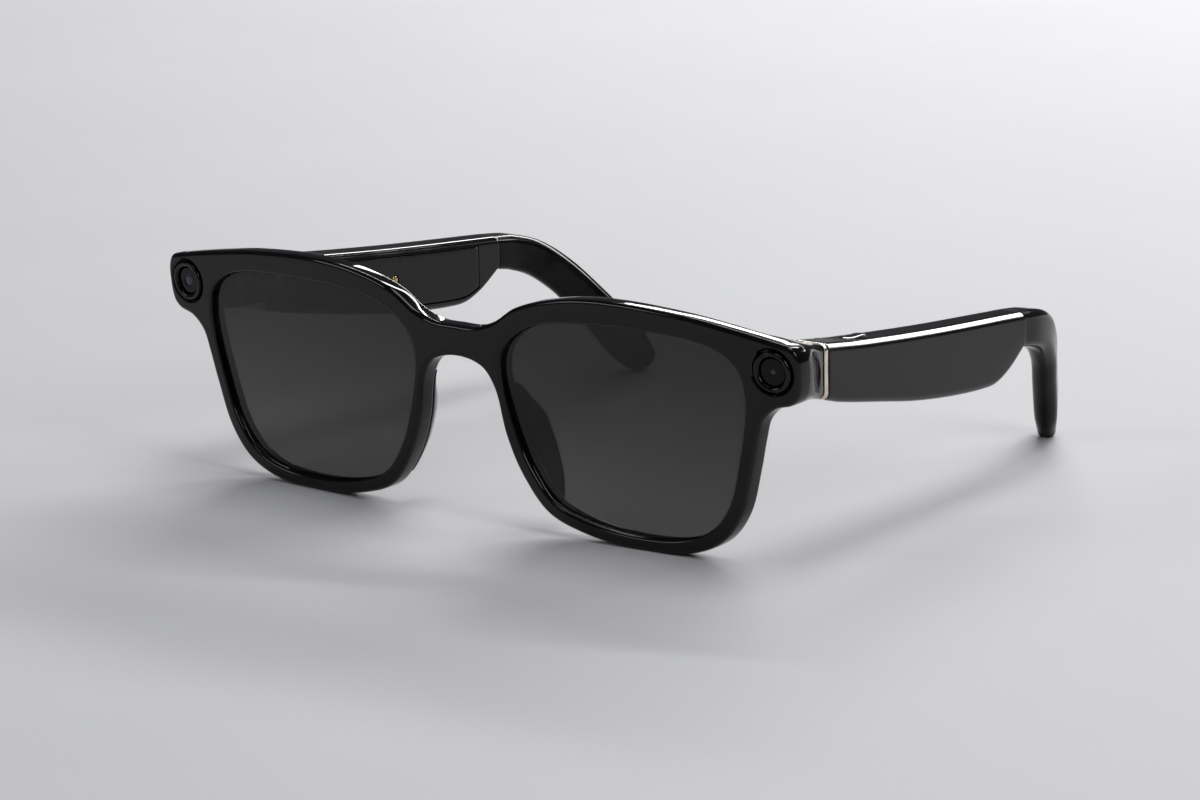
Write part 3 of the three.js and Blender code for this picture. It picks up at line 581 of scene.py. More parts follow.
def outlineHalf(count):
    lensWidth, lensRight = 2 * lensHalf[0], lensCentre[0] + lensHalf[0]
    grownHalf = lensHalf + (frontShape["rimSide"], frontShape["rimBottom"] + frontShape["rimFlat"])
    upper = [
        (0, browTop - 8.1), (noseX * 0.45, browTop - 8), (noseX * 0.91, browTop - 6.5),
        (noseX + 3.9, browTop - 3.5), (noseX + 0.23 * lensWidth, browTop - 1.2),
        (lensCentre[0] - 0.06 * lensWidth, browTop), (lensCentre[0] + 0.25 * lensWidth, browTop - 0.7),
        (lensRight - 2.8, browTop - 2), (halfFront - 4, browTop - 3.7), (halfFront - 1.2, browTop - 4.4),
        (halfFront - 0.2, browTop - 6.2), (halfFront - 0.1, browTop - 10), (halfFront - 0.8, browTop - 13),
        (halfFront - 2.2, browTop - 14.3), (halfFront - 5.4, browTop - 15.3),
        (halfFront - 7.9, browTop - 17.6),
    ]
    roundRim = [(0.965, 0.08), *lensShares[7:16], (-0.963, 0.2)]
    rim = [tuple(lensCentre + grownHalf * share) for share in roundRim]
    under = [(noseX * 0.62, browTop - 15.6), (noseX * 0.4, browTop - 14.4), (0, browTop - 13.8)]
    half = upper + rim + under
    whole = half + [(-x, z) for x, z in reversed(half[1:-1])]
    fine = curveThrough(whole, closed=True)[: (len(half) - 1) * 48 + 1]
    row = evenly(fine, count)
    row[:, 1] = np.clip(row[:, 1], 0, browTop)
    row[:, 0] = np.clip(row[:, 0], 0, halfFront)
    return row


outline = outlineHalf(frontShape["stations"])


def partners(places):
    # the opening's point that faces each point of the outline, in even order round the loop
    total = len(opening)
    nearest = [int(np.argmin(((opening - p) ** 2).sum(1))) for p in places]
    order = [float(nearest[0])]
    for index in nearest[1:]:
        step = (index - order[-1] + total / 2) % total - total / 2
        order.append(order[-1] + max(step, 0.0))
    span = np.array(order)
    span = span[0] + (span - span[0]) * min(1, (total - 1) / max(span[-1] - span[0], 1))
    window = 21
    padded = np.concatenate([span[-window:] - total, span, span[:window] + total])
    for _ in range(3):
        padded = np.convolve(np.pad(padded, window // 2, "edge"), np.ones(window) / window, "valid")
    return padded[window:-window] % total


def frontBody():
    v = frontShape
    count, extra = len(outline), v["middleStations"]
    front, back, lip = v["edgeRound"], v["backRound"], v["openingRound"]
    normals = leftNormals(outline, closed=False)
    normals[0], normals[-1] = (0, 1), (0, -1)
    shares = np.arange(1, extra + 1) / (extra + 1)
    low, high = outline[-1][1], outline[0][1]
    middle = np.stack([0 * shares, low + shares * (high - low)], axis=1)
    at = partners(np.concatenate([outline, middle]))
    index, part = at.astype(int), (at % 1)[:, None]
    inner = opening[index] * (1 - part) + opening[(index + 1) % len(opening)] * part
    outwards = openingNormals[index]
    outer = np.concatenate([outline, middle])
    away = np.concatenate([normals, 0 * middle])
    faceEdge, backEdge = outer - away * front, outer - away * back
    faceEdge[count:, 1] = low + front + shares * (high - low - 2 * front)
    backEdge[count:, 1] = low + back + shares * (high - low - 2 * back)
    thick, steps = v["thickness"], v["roundSteps"]
    grooveHalf = v["lensThickness"] / 2 + v["gap"]
    bite = v["lensBite"] + v["gap"]
    rows, wall = [], []

    def row(place, depth, onWall=False):
        rows.append(np.concatenate([place, np.full((len(place), 1), depth)], axis=1))
        wall.append(onWall)

    lipEdge = inner + outwards * lip
    for k in range(v["faceRings"] + 1):
        t = k / v["faceRings"]
        row(lipEdge * (1 - t) + faceEdge * t, 0.0)
    for k in range(1, steps + 1):
        angle = math.pi / 2 * k / steps
        row(outer - away * front * (1 - math.sin(angle)), front * (1 - math.cos(angle)), True)
    row(outer, thick / 2, True)
    for k in range(steps):
        angle = math.pi / 2 * k / steps
        row(outer - away * back * (1 - math.cos(angle)), thick - back + back * math.sin(angle), True)
    for k in range(v["faceRings"] + 1):
        t = k / v["faceRings"]
        row(backEdge * (1 - t) + lipEdge * t, thick)
    for k in range(1, steps + 1):
        angle = math.pi / 2 * k / steps
        row(inner + outwards * lip * (1 - math.sin(angle)), thick - lip + lip * math.cos(angle))
    for place, depth in (
        (inner, thick / 2 + grooveHalf), (inner + outwards * bite, thick / 2 + grooveHalf),
        (inner + outwards * bite, thick / 2 - grooveHalf), (inner, thick / 2 - grooveHalf),
    ):
        row(place, depth)
    for k in range(steps):
        angle = math.pi / 2 * k / steps
        row(inner + outwards * lip * (1 - math.cos(angle)), lip - lip * math.sin(angle))
    body = np.stack(rows, axis=1)
    stations, ring = body.shape[:2]
    faces = []
    for i in range(stations):
        j = (i + 1) % stations
        atMiddle = i >= count - 1
        for k in range(ring):
            m = (k + 1) % ring
            if atMiddle and (wall[k] or wall[m]):
                continue
            faces.append((i * ring + k, i * ring + m, j * ring + m, j * ring + k))
    flat = body.reshape(-1, 3)[:, [0, 2, 1]]
    twin = flat * (-1, 1, 1)
    shift = len(flat)
    faces += [tuple(shift + n for n in reversed(face)) for face in faces]
    piece = newObject("front_shell", np.concatenate([flat, twin]), faces)
    return bent(tidy(piece, merge=2e-6))


blockValues = {"corner": 1.5, "start": 1.4, "sink": 0.03, "rows": 30, "width": 9.0, "fall": 1.1}


def outlineReach(centre, direction):  # how far it is from a place inside the front to its outline
    side = outline[(outline[:, 0] > halfFront - 14) & (outline[:, 1] > hingeBottom - 6)] - centre
    a, edge = side[:-1], side[1:] - side[:-1]
    turn = direction[0] * edge[:, 1] - direction[1] * edge[:, 0]
    turn = np.where(np.abs(turn) < 1e-9, 1e-9, turn)
    reach = (a[:, 0] * edge[:, 1] - a[:, 1] * edge[:, 0]) / turn
    share = (a[:, 0] * direction[1] - a[:, 1] * direction[0]) / turn
    found = reach[(share >= 0) & (share <= 1) & (reach > 0)]
    return found.min() if len(found) else math.inf


def endBlock():
    # runs from inside the front back to the hinge, flush with the front's outline at its start
    v = blockValues
    thick = frontShape["thickness"]
    start, end = v["start"], hingePlane - frontPlane - frontShape["gap"] / 2
    inner = halfFront - v["width"]
    last = np.array(roundedRing(inner, hingeOuter, hingeBottom, hingeTop, v["corner"], 9, 12))
    foot = hingeBottom + v["fall"]
    wide = np.array(roundedRing(inner, halfFront + 2, foot, browTop + 1, v["corner"], 9, 12))
    centre = np.array([(inner + halfFront) / 2, (hingeBottom + hingeTop) / 2 + 0.8])
    first = []
    for place in wide:
        away = place - centre
        length = np.hypot(*away)
        first.append(centre + away / length * min(length, outlineReach(centre, away / length) - v["sink"]))
    first = np.array(first)
    depths = [start + (end - 0.3 - start) * k / v["rows"] for k in range(v["rows"] + 1)]
    pulls = [0.0] * len(depths)
    for angle in (0.35, 0.75, 1.15, math.pi / 2):
        depths.append(end - 0.3 + 0.3 * math.sin(angle))
        pulls.append(0.3 * (1 - math.cos(angle)))
    rings = []
    for depth, pull in zip(depths, pulls):
        reach = min(1.0, max(0.0, (depth - thick + 0.4) / (end - thick + 0.4)))
        ease = reach * reach * (3 - 2 * reach) * 0.4 + reach * 0.6
        ring = first * (1 - ease) + last * ease
        middle = ring.mean(0)
        shrink = 1 - pull / 4.5
        rings.append([
            (x, frontPlane + depth + (frontShape["wrap"] * x * x + frontShape["lean"] * z) * (1 - reach), z)
            for x, z in middle + (ring - middle) * shrink
        ])
    return loft("end_block", rings)


def ribbon(name, path, width, low, high):  # a strip laid along a path in the front
    sides = leftNormals(path, closed=False) * width / 2
    edge = min(0.12, (high - low) / 3)
    flat = 1 - edge / width * 2
    section = [(-1, low), (1, low), (1, high - edge), (flat, high), (-flat, high), (-1, high - edge)]
    rings = []
    for place, side in zip(path, sides):
        rings.append([(place[0] + side[0] * s, d, place[1] + side[1] * s) for s, d in section])
    return bent(loft(name, rings))


cableValues = {"width": 1.7, "depth": 1.4, "ride": 2.4, "sink": 0.05}


def cableRoute():
    grown = opening + openingNormals * cableValues["ride"]
    high = grown[:, 1] > lensCentre[1] + 0.72 * lensHalf[1]
    inward = grown[:, 0] < lensCentre[0] + 0.84 * lensHalf[0]
    over = grown[high & inward]
    over = over[np.argsort(over[:, 0])][::40]
    half = [(noseX * 0.4, browTop - 10.6), *map(tuple, over), (cameraX - 2.7, cameraZ + 2)]
    whole = [(-x, z) for x, z in reversed(half)] + half
    return evenly(curveThrough(whole), 240)


# a camera's seat and bore, as (radius, depth) pairs
seatProfile = [
    (0, -2), (4.5, -2), (4.5, -0.35), (4.25, 0.02), (3.97, 0.22), (3.95, 1.6), (2.8, 1.6), (2.8, 6.8),
    (0, 6.8),
]


def buildFront():
    shell = frontBody()
    block = endBlock()
    twin = flipped(block, "end_block_right")
    for piece in (block, twin):
        combine(shell, piece, "UNION")
    path = cableRoute()
    v = cableValues
    thick = frontShape["thickness"]
    combine(shell, ribbon("channel", path, v["width"], thick - v["depth"], thick + 0.6))
    for side in (1, -1):
        centre = (side * cameraX, 0, cameraZ)
        combine(shell, bent(turned("seat", seatProfile, centre, "y", 96)))
    fit(creased(shell, 26), "front", frontGloss, "front_frame", slot="gloss_black")
    reach = halfFront - blockValues["width"] - frontShape["gap"]
    inside = path[np.abs(path[:, 0]) < reach - 0.05]
    cover = ribbon("cable_cover", inside, v["width"] - 0.5, thick - 0.6, thick - v["sink"])
    fit(creased(cover), "front", channelSatin, "brow_cover", slot="satin_black")


# lenses, cameras and nose pads
lensDetail = {"rings": 16, "points": 220, "edge": 0.22}


def buildLens():
    v = lensDetail
    chosen = np.linspace(0, len(opening), v["points"], endpoint=False).astype(int)
    loop, away = opening[chosen], openingNormals[chosen]
    half, middle, edge = frontShape["lensThickness"] / 2, frontShape["thickness"] / 2, v["edge"]
    rim = loop + away * (frontShape["lensBite"] - 0.05)
    rings = []

    def ring(places, depth):
        rings.append([(x, depth, z) for x, z in places])

    for k in range(1, v["rings"] + 1):
        ring(lensCentre + (rim - away * edge - lensCentre) * (k / v["rings"]), middle - half)
    ring(rim - away * edge * 0.3, middle - half + edge * 0.3)
    ring(rim, middle - half + edge)
    ring(rim, middle + half - edge)
    ring(rim - away * edge * 0.3, middle + half - edge * 0.3)
    for k in range(v["rings"], 0, -1):
        ring(lensCentre + (rim - away * edge - lensCentre) * (k / v["rings"]), middle + half)
    return creased(bent(loft("lens_glass_left", rings)), 40)


bezelProfile = [
    (2.6, 1.3), (2.6, 0.34), (2.63, 0.1), (2.74, -0.08), (2.94, -0.22), (3.16, -0.28), (3.36, -0.24),
    (3.52, -0.08), (3.6, 0.14), (3.62, 0.4), (3.62, 1.3),
]


def buildCamera(side, name, blue):
    centre = (side * cameraX, 0, cameraZ)
    profile = list(evenly(curveThrough(bezelProfile[1:-1]), 44))
    ring = [bezelProfile[0], *profile, bezelProfile[-1]]
    bezel = bent(turned("bezel_ring_" + name, ring, centre, "y", 96))
    fit(creased(bezel, 50), "front", bezelGloss, "camera_bezel_" + name, slot="gloss_black")
    well = 1.05 if blue else 0.62  # the lens or the sensor in the middle of the window
    face = [(0, 0.44), (well, 0.44), (well + 0.04, 0.36), (2.3, 0.36), (2.4, 0.46), (2.4, 1.14), (0, 1.14)]
    glass = rounded(face, 0.06, 4)
    window = bent(turned("window_glass_" + name, glass, centre, "y", 80))
    fit(creased(window, 40), "front", windowDark, "camera_window_" + name, slot="window_glass")
    rise, angles = 0.14 if blue else 0.1, np.linspace(0, math.pi / 2, 12)
    dome = [(well * 0.92 * math.sin(a), 0.5 - rise * math.cos(a)) for a in angles]
    dot = bent(turned("window_lens_" + name, [*dome, (0, 0.5)], centre, "y", 48))
    fit(creased(dot, 40), "front", windowBlue if blue else sensorGrey, slot="window_glass")
    if blue:
        iris = [(1.12, 0.4), (1.16, 0.33), (1.26, 0.31), (1.36, 0.33), (1.4, 0.4), (1.12, 0.4)]
        ring = bent(turned("window_iris_" + name, iris[:-1], centre, "y", 64))
        fit(creased(ring, 60), "front", bezelGloss, slot="window_glass")


padValues = {"rings": 72, "points": 44, "top": 0.13, "bottom": 3.6, "flare": 0.45, "inset": 0.35}


def buildPad():
    v = padValues
    depthAt = smooth([(0, 0.7), (0.14, 2.2), (0.28, 4), (0.5, 4.5), (0.7, 4), (0.86, 2.8), (1, 0.9)])
    nose = outline[(outline[:, 0] < lensCentre[0]) & (outline[:, 1] < lensCentre[1] + 0.35 * lensHalf[1])]
    nose = nose[np.argsort(nose[:, 1])]
    top = lensCentre[1] + v["top"] * 2 * lensHalf[1]
    bottom = frontShape["rimBottom"] + v["bottom"]
    rings = []
    for i in range(v["rings"] + 1):
        t = i / v["rings"]
        z = top + t * (bottom - top)
        x, depth = np.interp(z, nose[:, 1], nose[:, 0]) + v["inset"], depthAt(t)
        root = frontShape["thickness"] + frontShape["gap"]
        flare = v["flare"] * depth
        width = frontShape["rimSide"] - 0.9
        section = [
            (0, 0), (width * 0.5, 0), (width, 0), (width + flare * 0.5, 0.55), (1.7 + flare, 0.86),
            (1.1 + flare, 1), (0.45 + flare, 0.9), (flare * 0.55, 0.5),
        ]
        loop = curveThrough([(x + dx, root + share * depth) for dx, share in section], closed=True, steps=20)
        loop = evenly(loop, v["points"] + 1)[:-1]
        if i in (0, v["rings"]):
            loop = loop.mean(0) + (loop - loop.mean(0)) * 0.86
        rings.append([(px, py, z) for px, py in loop])
    return creased(bent(loft("nose_pad_moulded_left", rings)), 60)


# temples: their faces as functions of the distance behind the hinge
templeShape = {
    "length": 66.0,
    "inward": 3.7,
    "thickness": 8.0,
    "neckThickness": 6.5,
    "neckDrop": 6.8,
    "neckHeight": 6.5,
    "bulge": 5.1,
    "corner": 1.4,
    "wall": 1.3,
    "ledge": 0.7,
    "cover": 1.2,
    "cavityStart": 9.4,
    "cavityEnd": 60.0,
    "crown": 0.22,  # how far the outer face swells
}
neckTop = hingeTop - templeShape["neckDrop"]
neckBottom = neckTop - templeShape["neckHeight"]
bulgeBottom = neckBottom - templeShape["bulge"]
casing = templeShape["length"]
topShares = [(0, 0), (0.2, 0.27), (0.57, 0.65), (1, 1)]
topZ = smooth([(s * casing, hingeTop - f * templeShape["neckDrop"]) for s, f in topShares])
fallShares = [(0, 0), (0.1, 0.21), (0.29, 0.49), (0.47, 0.74), (0.66, 0.92), (0.82, 1)]
riseShares = [(0.87, 0.07), (0.93, 0.4), (1, 1)]
bottomZ = smooth(
    [(s * casing, hingeBottom + f * (bulgeBottom - hingeBottom)) for s, f in fallShares]
    + [(s * casing, bulgeBottom + f * (neckBottom - bulgeBottom)) for s, f in riseShares]
)


def outerX(back):
    return hingeOuter - templeShape["inward"] * back / casing


def innerX(back):
    slim = (templeShape["neckThickness"] - templeShape["thickness"]) * back / casing
    return outerX(back) - templeShape["thickness"] - slim


def shifted(face, amount):
    return lambda back: face(back) + amount


def band(name, start, end, x0, x1, z0, z1, rows=1, radius=0.0, crown=0.0, arc=8, flat=6, soften=0.0):
    # a body along the temple between four faces, its ends softened if asked
    rings = []
    backs = [start + (end - start) * i / rows for i in range(rows + 1)]
    pulls = [0.0] * len(backs)
    if soften:
        steps = [(math.sin(a), 1 - math.cos(a)) for a in np.linspace(0, math.pi / 2, 5)]
        before = [start + soften * (1 - s) for s, _ in reversed(steps)]
        after = [end - soften * (1 - s) for s, _ in steps]
        backs = before + backs[1:-1] + after
        pulls = [soften * p for _, p in reversed(steps)] + [0.0] * (rows - 1) + [soften * p for _, p in steps]
    for back, pull in zip(backs, pulls):
        a, b, c, d = (face(back) for face in (x0, x1, z0, z1))
        a, b, c, d = a + pull, b - pull, c + pull, d - pull
        ring = roundedRing(a, b, c, d, radius, arc, flat) if radius else [(b, c), (b, d), (a, d), (a, c)]
        middle, half = (c + d) / 2, (d - c) / 2
        row = []
        for x, z in ring:
            swell = crown * (1 - ((z - middle) / half) ** 2) if x > (a + b) / 2 else 0
            row.append((x + swell, hingePlane + back, z))
        rings.append(row)
    return loft(name, rings)


shellStart = shellLow.y - hingePlane - 0.17
mouthLow = shifted(bottomZ, templeShape["wall"])
mouthHigh = shifted(topZ, -templeShape["wall"])
grilleHalf = 1.0


def centreX(back):
    return (innerX(back) + outerX(back)) / 2


def pill(name, centre, length, width, levels, grow):  # (height, inset) pairs make its sides
    count = 56
    rings = []
    for z, inset in levels:
        half, r = length / 2 + grow - inset, width / 2 + grow - inset
        ring = []
        for k in range(count):
            angle = 2 * math.pi * (k + 0.5) / count
            cap = half - r if math.sin(angle) > 0 else r - half
            ring.append((centre[0] + r * math.cos(angle), centre[1] + cap + r * math.sin(angle), z))
        rings.append(ring)
    return loft(name, rings)


buttonLow, buttonHigh = boxOf("capture_button_left")
buttonCentre = ((buttonLow.x + buttonHigh.x) / 2, (buttonLow.y + buttonHigh.y) / 2)
buttonValues = {"length": 5.6, "width": 2.6, "flangeWidth": 0.5, "round": 0.35, "crown": 0.04}


def cutHingeRoom(piece, front, back):  # what the hinge needs free, between two places along y
    pocketLow, pocketHigh = boxOf("hinge_temple_leaf_left")
    pinX = (pinLow.x + pinHigh.x) / 2
    low, high = pocketLow.z - 0.6, pocketHigh.z + 0.6
    pocket = [
        [(x, y, z) for x, z in roundedRing(hingeInner - 3, pinX + 0.85, low, high, 0.4, 4, 2)]
        for y in (front, pocketHigh.y + back)
    ]
    combine(piece, loft("pocket", pocket))
    halfPin = (pinHigh.z - pinLow.z) / 2 + 0.4
    middlePin = (pinHigh.z + pinLow.z) / 2
    room = [(0, -halfPin), (2, -halfPin), (2, halfPin), (0, halfPin)]
    combine(piece, turned("knuckle_room", room, (pinX, hingePlane, middlePin), "z", 48))


def buildShell():
    v = templeShape
    faces = (innerX, outerX, bottomZ, topZ)
    shell = band("temple_casing_left", shellStart, casing, *faces, 110, v["corner"], v["crown"], soften=0.16)
    start, end, ledge = v["cavityStart"], v["cavityEnd"], v["ledge"]
    seat = shifted(innerX, v["cover"] + 0.3)
    combine(shell, band("mouth", start, end, shifted(innerX, -2), seat, mouthLow, mouthHigh, 60))
    combine(shell, band("room", start + ledge, end - ledge, innerX, shifted(outerX, -v["wall"]),
                        shifted(mouthLow, ledge), shifted(mouthHigh, -ledge), 60))
    cutHingeRoom(shell, hingePlane - 1, 0.3)
    grilleLow, grilleHigh = boxOf("speaker_grille_left")
    first, last = grilleLow.y - hingePlane - 0.3, grilleHigh.y - hingePlane + 0.3
    sides = (shifted(centreX, -grilleHalf - 0.3), shifted(centreX, grilleHalf + 0.3))
    combine(shell, band("speaker_slot", first, last, *sides, shifted(bottomZ, -1), shifted(bottomZ, 2.5), 24))
    micLow, micHigh = boxOf("microphone_left")
    micBack = (micLow.y + micHigh.y) / 2 - hingePlane
    port = [(0, -1), (0.72, -1), (0.72, -0.1), (0.5, 0.25), (0.5, 4), (0, 4)]
    combine(shell, turned("port", port, (centreX(micBack), micBack + hingePlane, bottomZ(micBack)), "z", 32))
    return shell


def buildButton():
    v = buttonValues
    top, low = buttonHigh.z, buttonLow.z
    r, crown = v["round"], v["crown"]
    shoulder = low + 1.1
    stem = [(top, 1.25), (top - crown * 0.1, 0.9), (top - crown * 0.4, 0.55), (top - crown, r)]
    for a in np.linspace(0.3, math.pi / 2, 6):
        stem.append((top - crown - r * (1 - math.cos(a)), r * (1 - math.sin(a))))
    levels = [*stem, (shoulder, 0), (shoulder, -v["flangeWidth"]), (low, -v["flangeWidth"])]
    return creased(pill("capture_key", buttonCentre, v["length"], v["width"], levels, 0), 40)


coverValues = {"seam": 0.1, "corner": 0.45}


def buildCover(contacts):
    v = templeShape
    seam, corner = coverValues["seam"], coverValues["corner"]
    start, end = v["cavityStart"] + seam, v["cavityEnd"] - seam
    sides = (shifted(innerX, 0.02), shifted(innerX, v["cover"]))
    low, high = shifted(mouthLow, seam), shifted(mouthHigh, -seam)
    cover = band("inner_cover_panel", start, end, *sides, low, high, 64, corner, 0, 5, 6, soften=0.16)
    if not contacts:
        return creased(cover)
    for node in ("charging_contact_front_right", "charging_contact_rear_right"):
        low, high = boxOf(node)
        hole = [(0, -3), (1.25, -3), (1.25, -0.2), (1.02, 0.1), (1.02, 4), (0, 4)]
        centre = (-high.x, (low.y + high.y) / 2, (low.z + high.z) / 2)
        combine(cover, turned("contact_hole", hole, centre, "x", 40))
    return creased(cover)


trimValues = {"proud": 0.05, "round": 0.14}


def buildTrim():
    v = trimValues
    start, end = trimLow.y - hingePlane, trimHigh.y - hingePlane
    proud = v["proud"]
    faces = ((innerX, -proud * 0.3), (outerX, proud), (bottomZ, -proud), (topZ, proud))
    grown = [shifted(face, amount) for face, amount in faces]
    trim = band("trim_band_left", start, end, *grown, 2, templeShape["corner"], 0.0, 10, 8, soften=v["round"])
    cutHingeRoom(trim, hingePlane - 2, 0)
    return creased(trim)


# ear hooks
hookValues = {
    "reach": 31.0,
    "inward": 12.8,
    "tipWidth": 8.2,
    "tipThickness": 4.4,
    "tipRadius": 2.6,
    "seam": 0.12,
    "rows": 110,
}
hookShares = [  # how far it has gone in, back and down
    (0, 0, 0), (0.04, 0.18, 0.035), (0.15, 0.37, 0.115), (0.34, 0.55, 0.28), (0.58, 0.715, 0.52),
    (0.8, 0.865, 0.77), (1, 1, 1),
]


def buildTip():
    v = hookValues
    start = np.array([centreX(casing), hingePlane + casing + v["seam"], (neckTop + neckBottom) / 2])
    drop = start[2] - v["tipRadius"]
    points = [start + (-a * v["inward"], b * v["reach"], -c * drop) for a, b, c in hookShares]
    path = evenly(curveThrough(points), v["rows"] + 1)
    tangents = np.gradient(path, axis=0)
    tangents /= np.linalg.norm(tangents, axis=1)[:, None]
    width, thick = v["tipWidth"], v["tipThickness"]
    neckHeight, neckThickness = templeShape["neckHeight"], templeShape["neckThickness"]
    heights = [(0, neckHeight), (0.2, 7), (0.5, 7.2), (0.75, width * 0.95), (0.9, width), (1, width * 0.8)]
    heightAt = smooth(heights)
    thickAt = smooth([(0, neckThickness), (0.25, 5.4), (0.5, thick + 0.3), (0.85, thick), (1, thick * 0.8)])
    rings = []
    for i, (centre, tangent) in enumerate(zip(path, tangents)):
        t = i / v["rows"]
        share = min(1, t / 0.14)
        ahead = np.array([0, 1, 0]) * (1 - share) + tangent * share
        ahead /= np.linalg.norm(ahead)
        out = np.cross(ahead, (0, 0, 1))
        out /= np.linalg.norm(out)
        up = np.cross(out, ahead)
        h, w = heightAt(t) / 2, thickAt(t) / 2
        corner = min(templeShape["corner"] + 1.6 * t, w * 0.95)
        rings.append([centre + out * x + up * z for x, z in roundedRing(-w, w, -h, h, corner, 9, 5)])
    last, centre, tangent = np.array(rings[-1]), path[-1], tangents[-1]
    for angle in np.linspace(0.2, math.pi / 2 - 0.06, 9):
        ahead = tangent * (v["tipRadius"] - 0.2) * math.sin(angle)
        rings.append(centre + (last - centre) * math.cos(angle) ** 0.8 + ahead)
    middle = np.mean(rings[0], axis=0)
    rings.insert(0, [middle + (np.array(p) - middle) * 0.97 + (0, -0.06, 0) for p in rings[0]])
    tip = loft("ear_hook_left", rings)
    for vertex in tip.data.vertices:
        vertex.co.z = max(vertex.co.z, 0)
        vertex.co.y = min(vertex.co.y, cadHigh.y)
    return creased(tip, 50)


# hinges
hingeValues = {"knuckle": 1.5, "knuckleHeight": 2.0, "leaf": 1.1, "edge": 0.12}


def leafBody(name, node, knuckles):
    # a stamped leaf with its edges broken, and knuckles rolled round the pin
    v = hingeValues
    low, high = boxOf(node)
    pinX, middle = (pinLow.x + pinHigh.x) / 2, (pinLow.z + pinHigh.z) / 2
    isFront = node.startswith("hinge_front")
    x0, x1 = (high.x - v["leaf"], high.x) if isFront else (pinX - v["leaf"] / 2, pinX + v["leaf"] / 2)
    reach = 1.5 * v["knuckleHeight"] + 0.3
    y0, y1 = (low.y, hingePlane - 0.3) if isFront else (hingePlane + 1.85, high.y)
    edge = v["edge"]
    rings = []
    for x, pull in ((x0, edge), (x0 + edge, 0), (x1 - edge, 0), (x1, edge)):
        bottom, top = middle - reach + pull + 0.1, middle + reach - pull - 0.1
        ring = roundedRing(y0 + pull, y1 - pull, bottom, top, 0.8, 6, 3)
        rings.append([(x, y, z) for y, z in ring])
    leaf = loft(name, rings)
    for k in knuckles:
        centre = middle + k * (v["knuckleHeight"] + 0.3)
        h, r = v["knuckleHeight"] / 2, v["knuckle"]
        roll = [(0.85, -h), (r - edge, -h), (r, edge - h), (r, h - edge), (r - edge, h), (0.85, h)]
        knuckle = turned("knuckle", roll, (pinX, hingePlane, centre), "z", 48)
        ends = (y1 - 0.5, hingePlane - 1.0) if isFront else (y0 + 0.5, hingePlane + 1.15)
        sides = (x0 + 0.05, x1 - 0.05) if isFront else (pinX - 0.55, pinX + 0.55)
        across = roundedRing(*sides, centre - h + 0.03, centre + h - 0.03, 0.1, 3, 2)
        web = [[(x, y, z) for x, z in across] for y in sorted(ends)]
        combine(knuckle, loft("web", web), "UNION")
        combine(leaf, knuckle, "UNION")
    return leaf


def pinBody():
    low, high = pinLow.z, pinHigh.z
    r = (pinHigh.x - pinLow.x) / 2
    profile = [(0, low), (0.25, low), (r - 0.12, low), (r, low + 0.12), (r, high - 0.12), (r - 0.12, high)]
    profile += [(0.42, high), (0.36, high - 0.12), (0, high - 0.12)]
    centre = ((pinLow.x + pinHigh.x) / 2, hingePlane, 0)
    return creased(turned("pin_turned_left", profile, centre, "z", 40), 30)


# pieces that repeat
screwValues = {"radius": 0.6, "head": 1.08, "headHeight": 0.4, "length": 2.5, "lobes": 6}


def newTree(name, inputs):
    tree = bpy.data.node_groups.new(name, "GeometryNodeTree")
    tree.interface.new_socket(name="Geometry", in_out="INPUT", socket_type="NodeSocketGeometry")
    for label, kind, value in inputs:
        socket = tree.interface.new_socket(name=label, in_out="INPUT", socket_type=kind)
        if value is not None:
            socket.default_value = value
    tree.interface.new_socket(name="Geometry", in_out="OUTPUT", socket_type="NodeSocketGeometry")
    return tree, tree.nodes.new("NodeGroupInput"), tree.nodes.new("NodeGroupOutput")


def gn(tree, kind, settings=None, inputs=None):
    made = tree.nodes.new(kind)
    for key, value in (settings or {}).items():
        setattr(made, key, value)
    for key, value in (inputs or {}).items():
        if isinstance(value, bpy.types.NodeSocket):
            tree.links.new(value, made.inputs[key])
        else:
            made.inputs[key].default_value = value
    return made


def runTree(holder, tree, values):
    # gives the modifier its inputs by socket identifier, and turns the result into a plain mesh
    modifier = holder.modifiers.new(tree.name, "NODES")
    modifier.node_group = tree
    for item in tree.interface.items_tree:
        if item.item_type == "SOCKET" and item.in_out == "INPUT" and item.name in values:
            modifier[item.identifier] = values[item.name]
    graph = bpy.context.evaluated_depsgraph_get()
    mesh = bpy.data.meshes.new_from_object(holder.evaluated_get(graph))
    holder.modifiers.clear()
    holder.data = mesh
    return holder


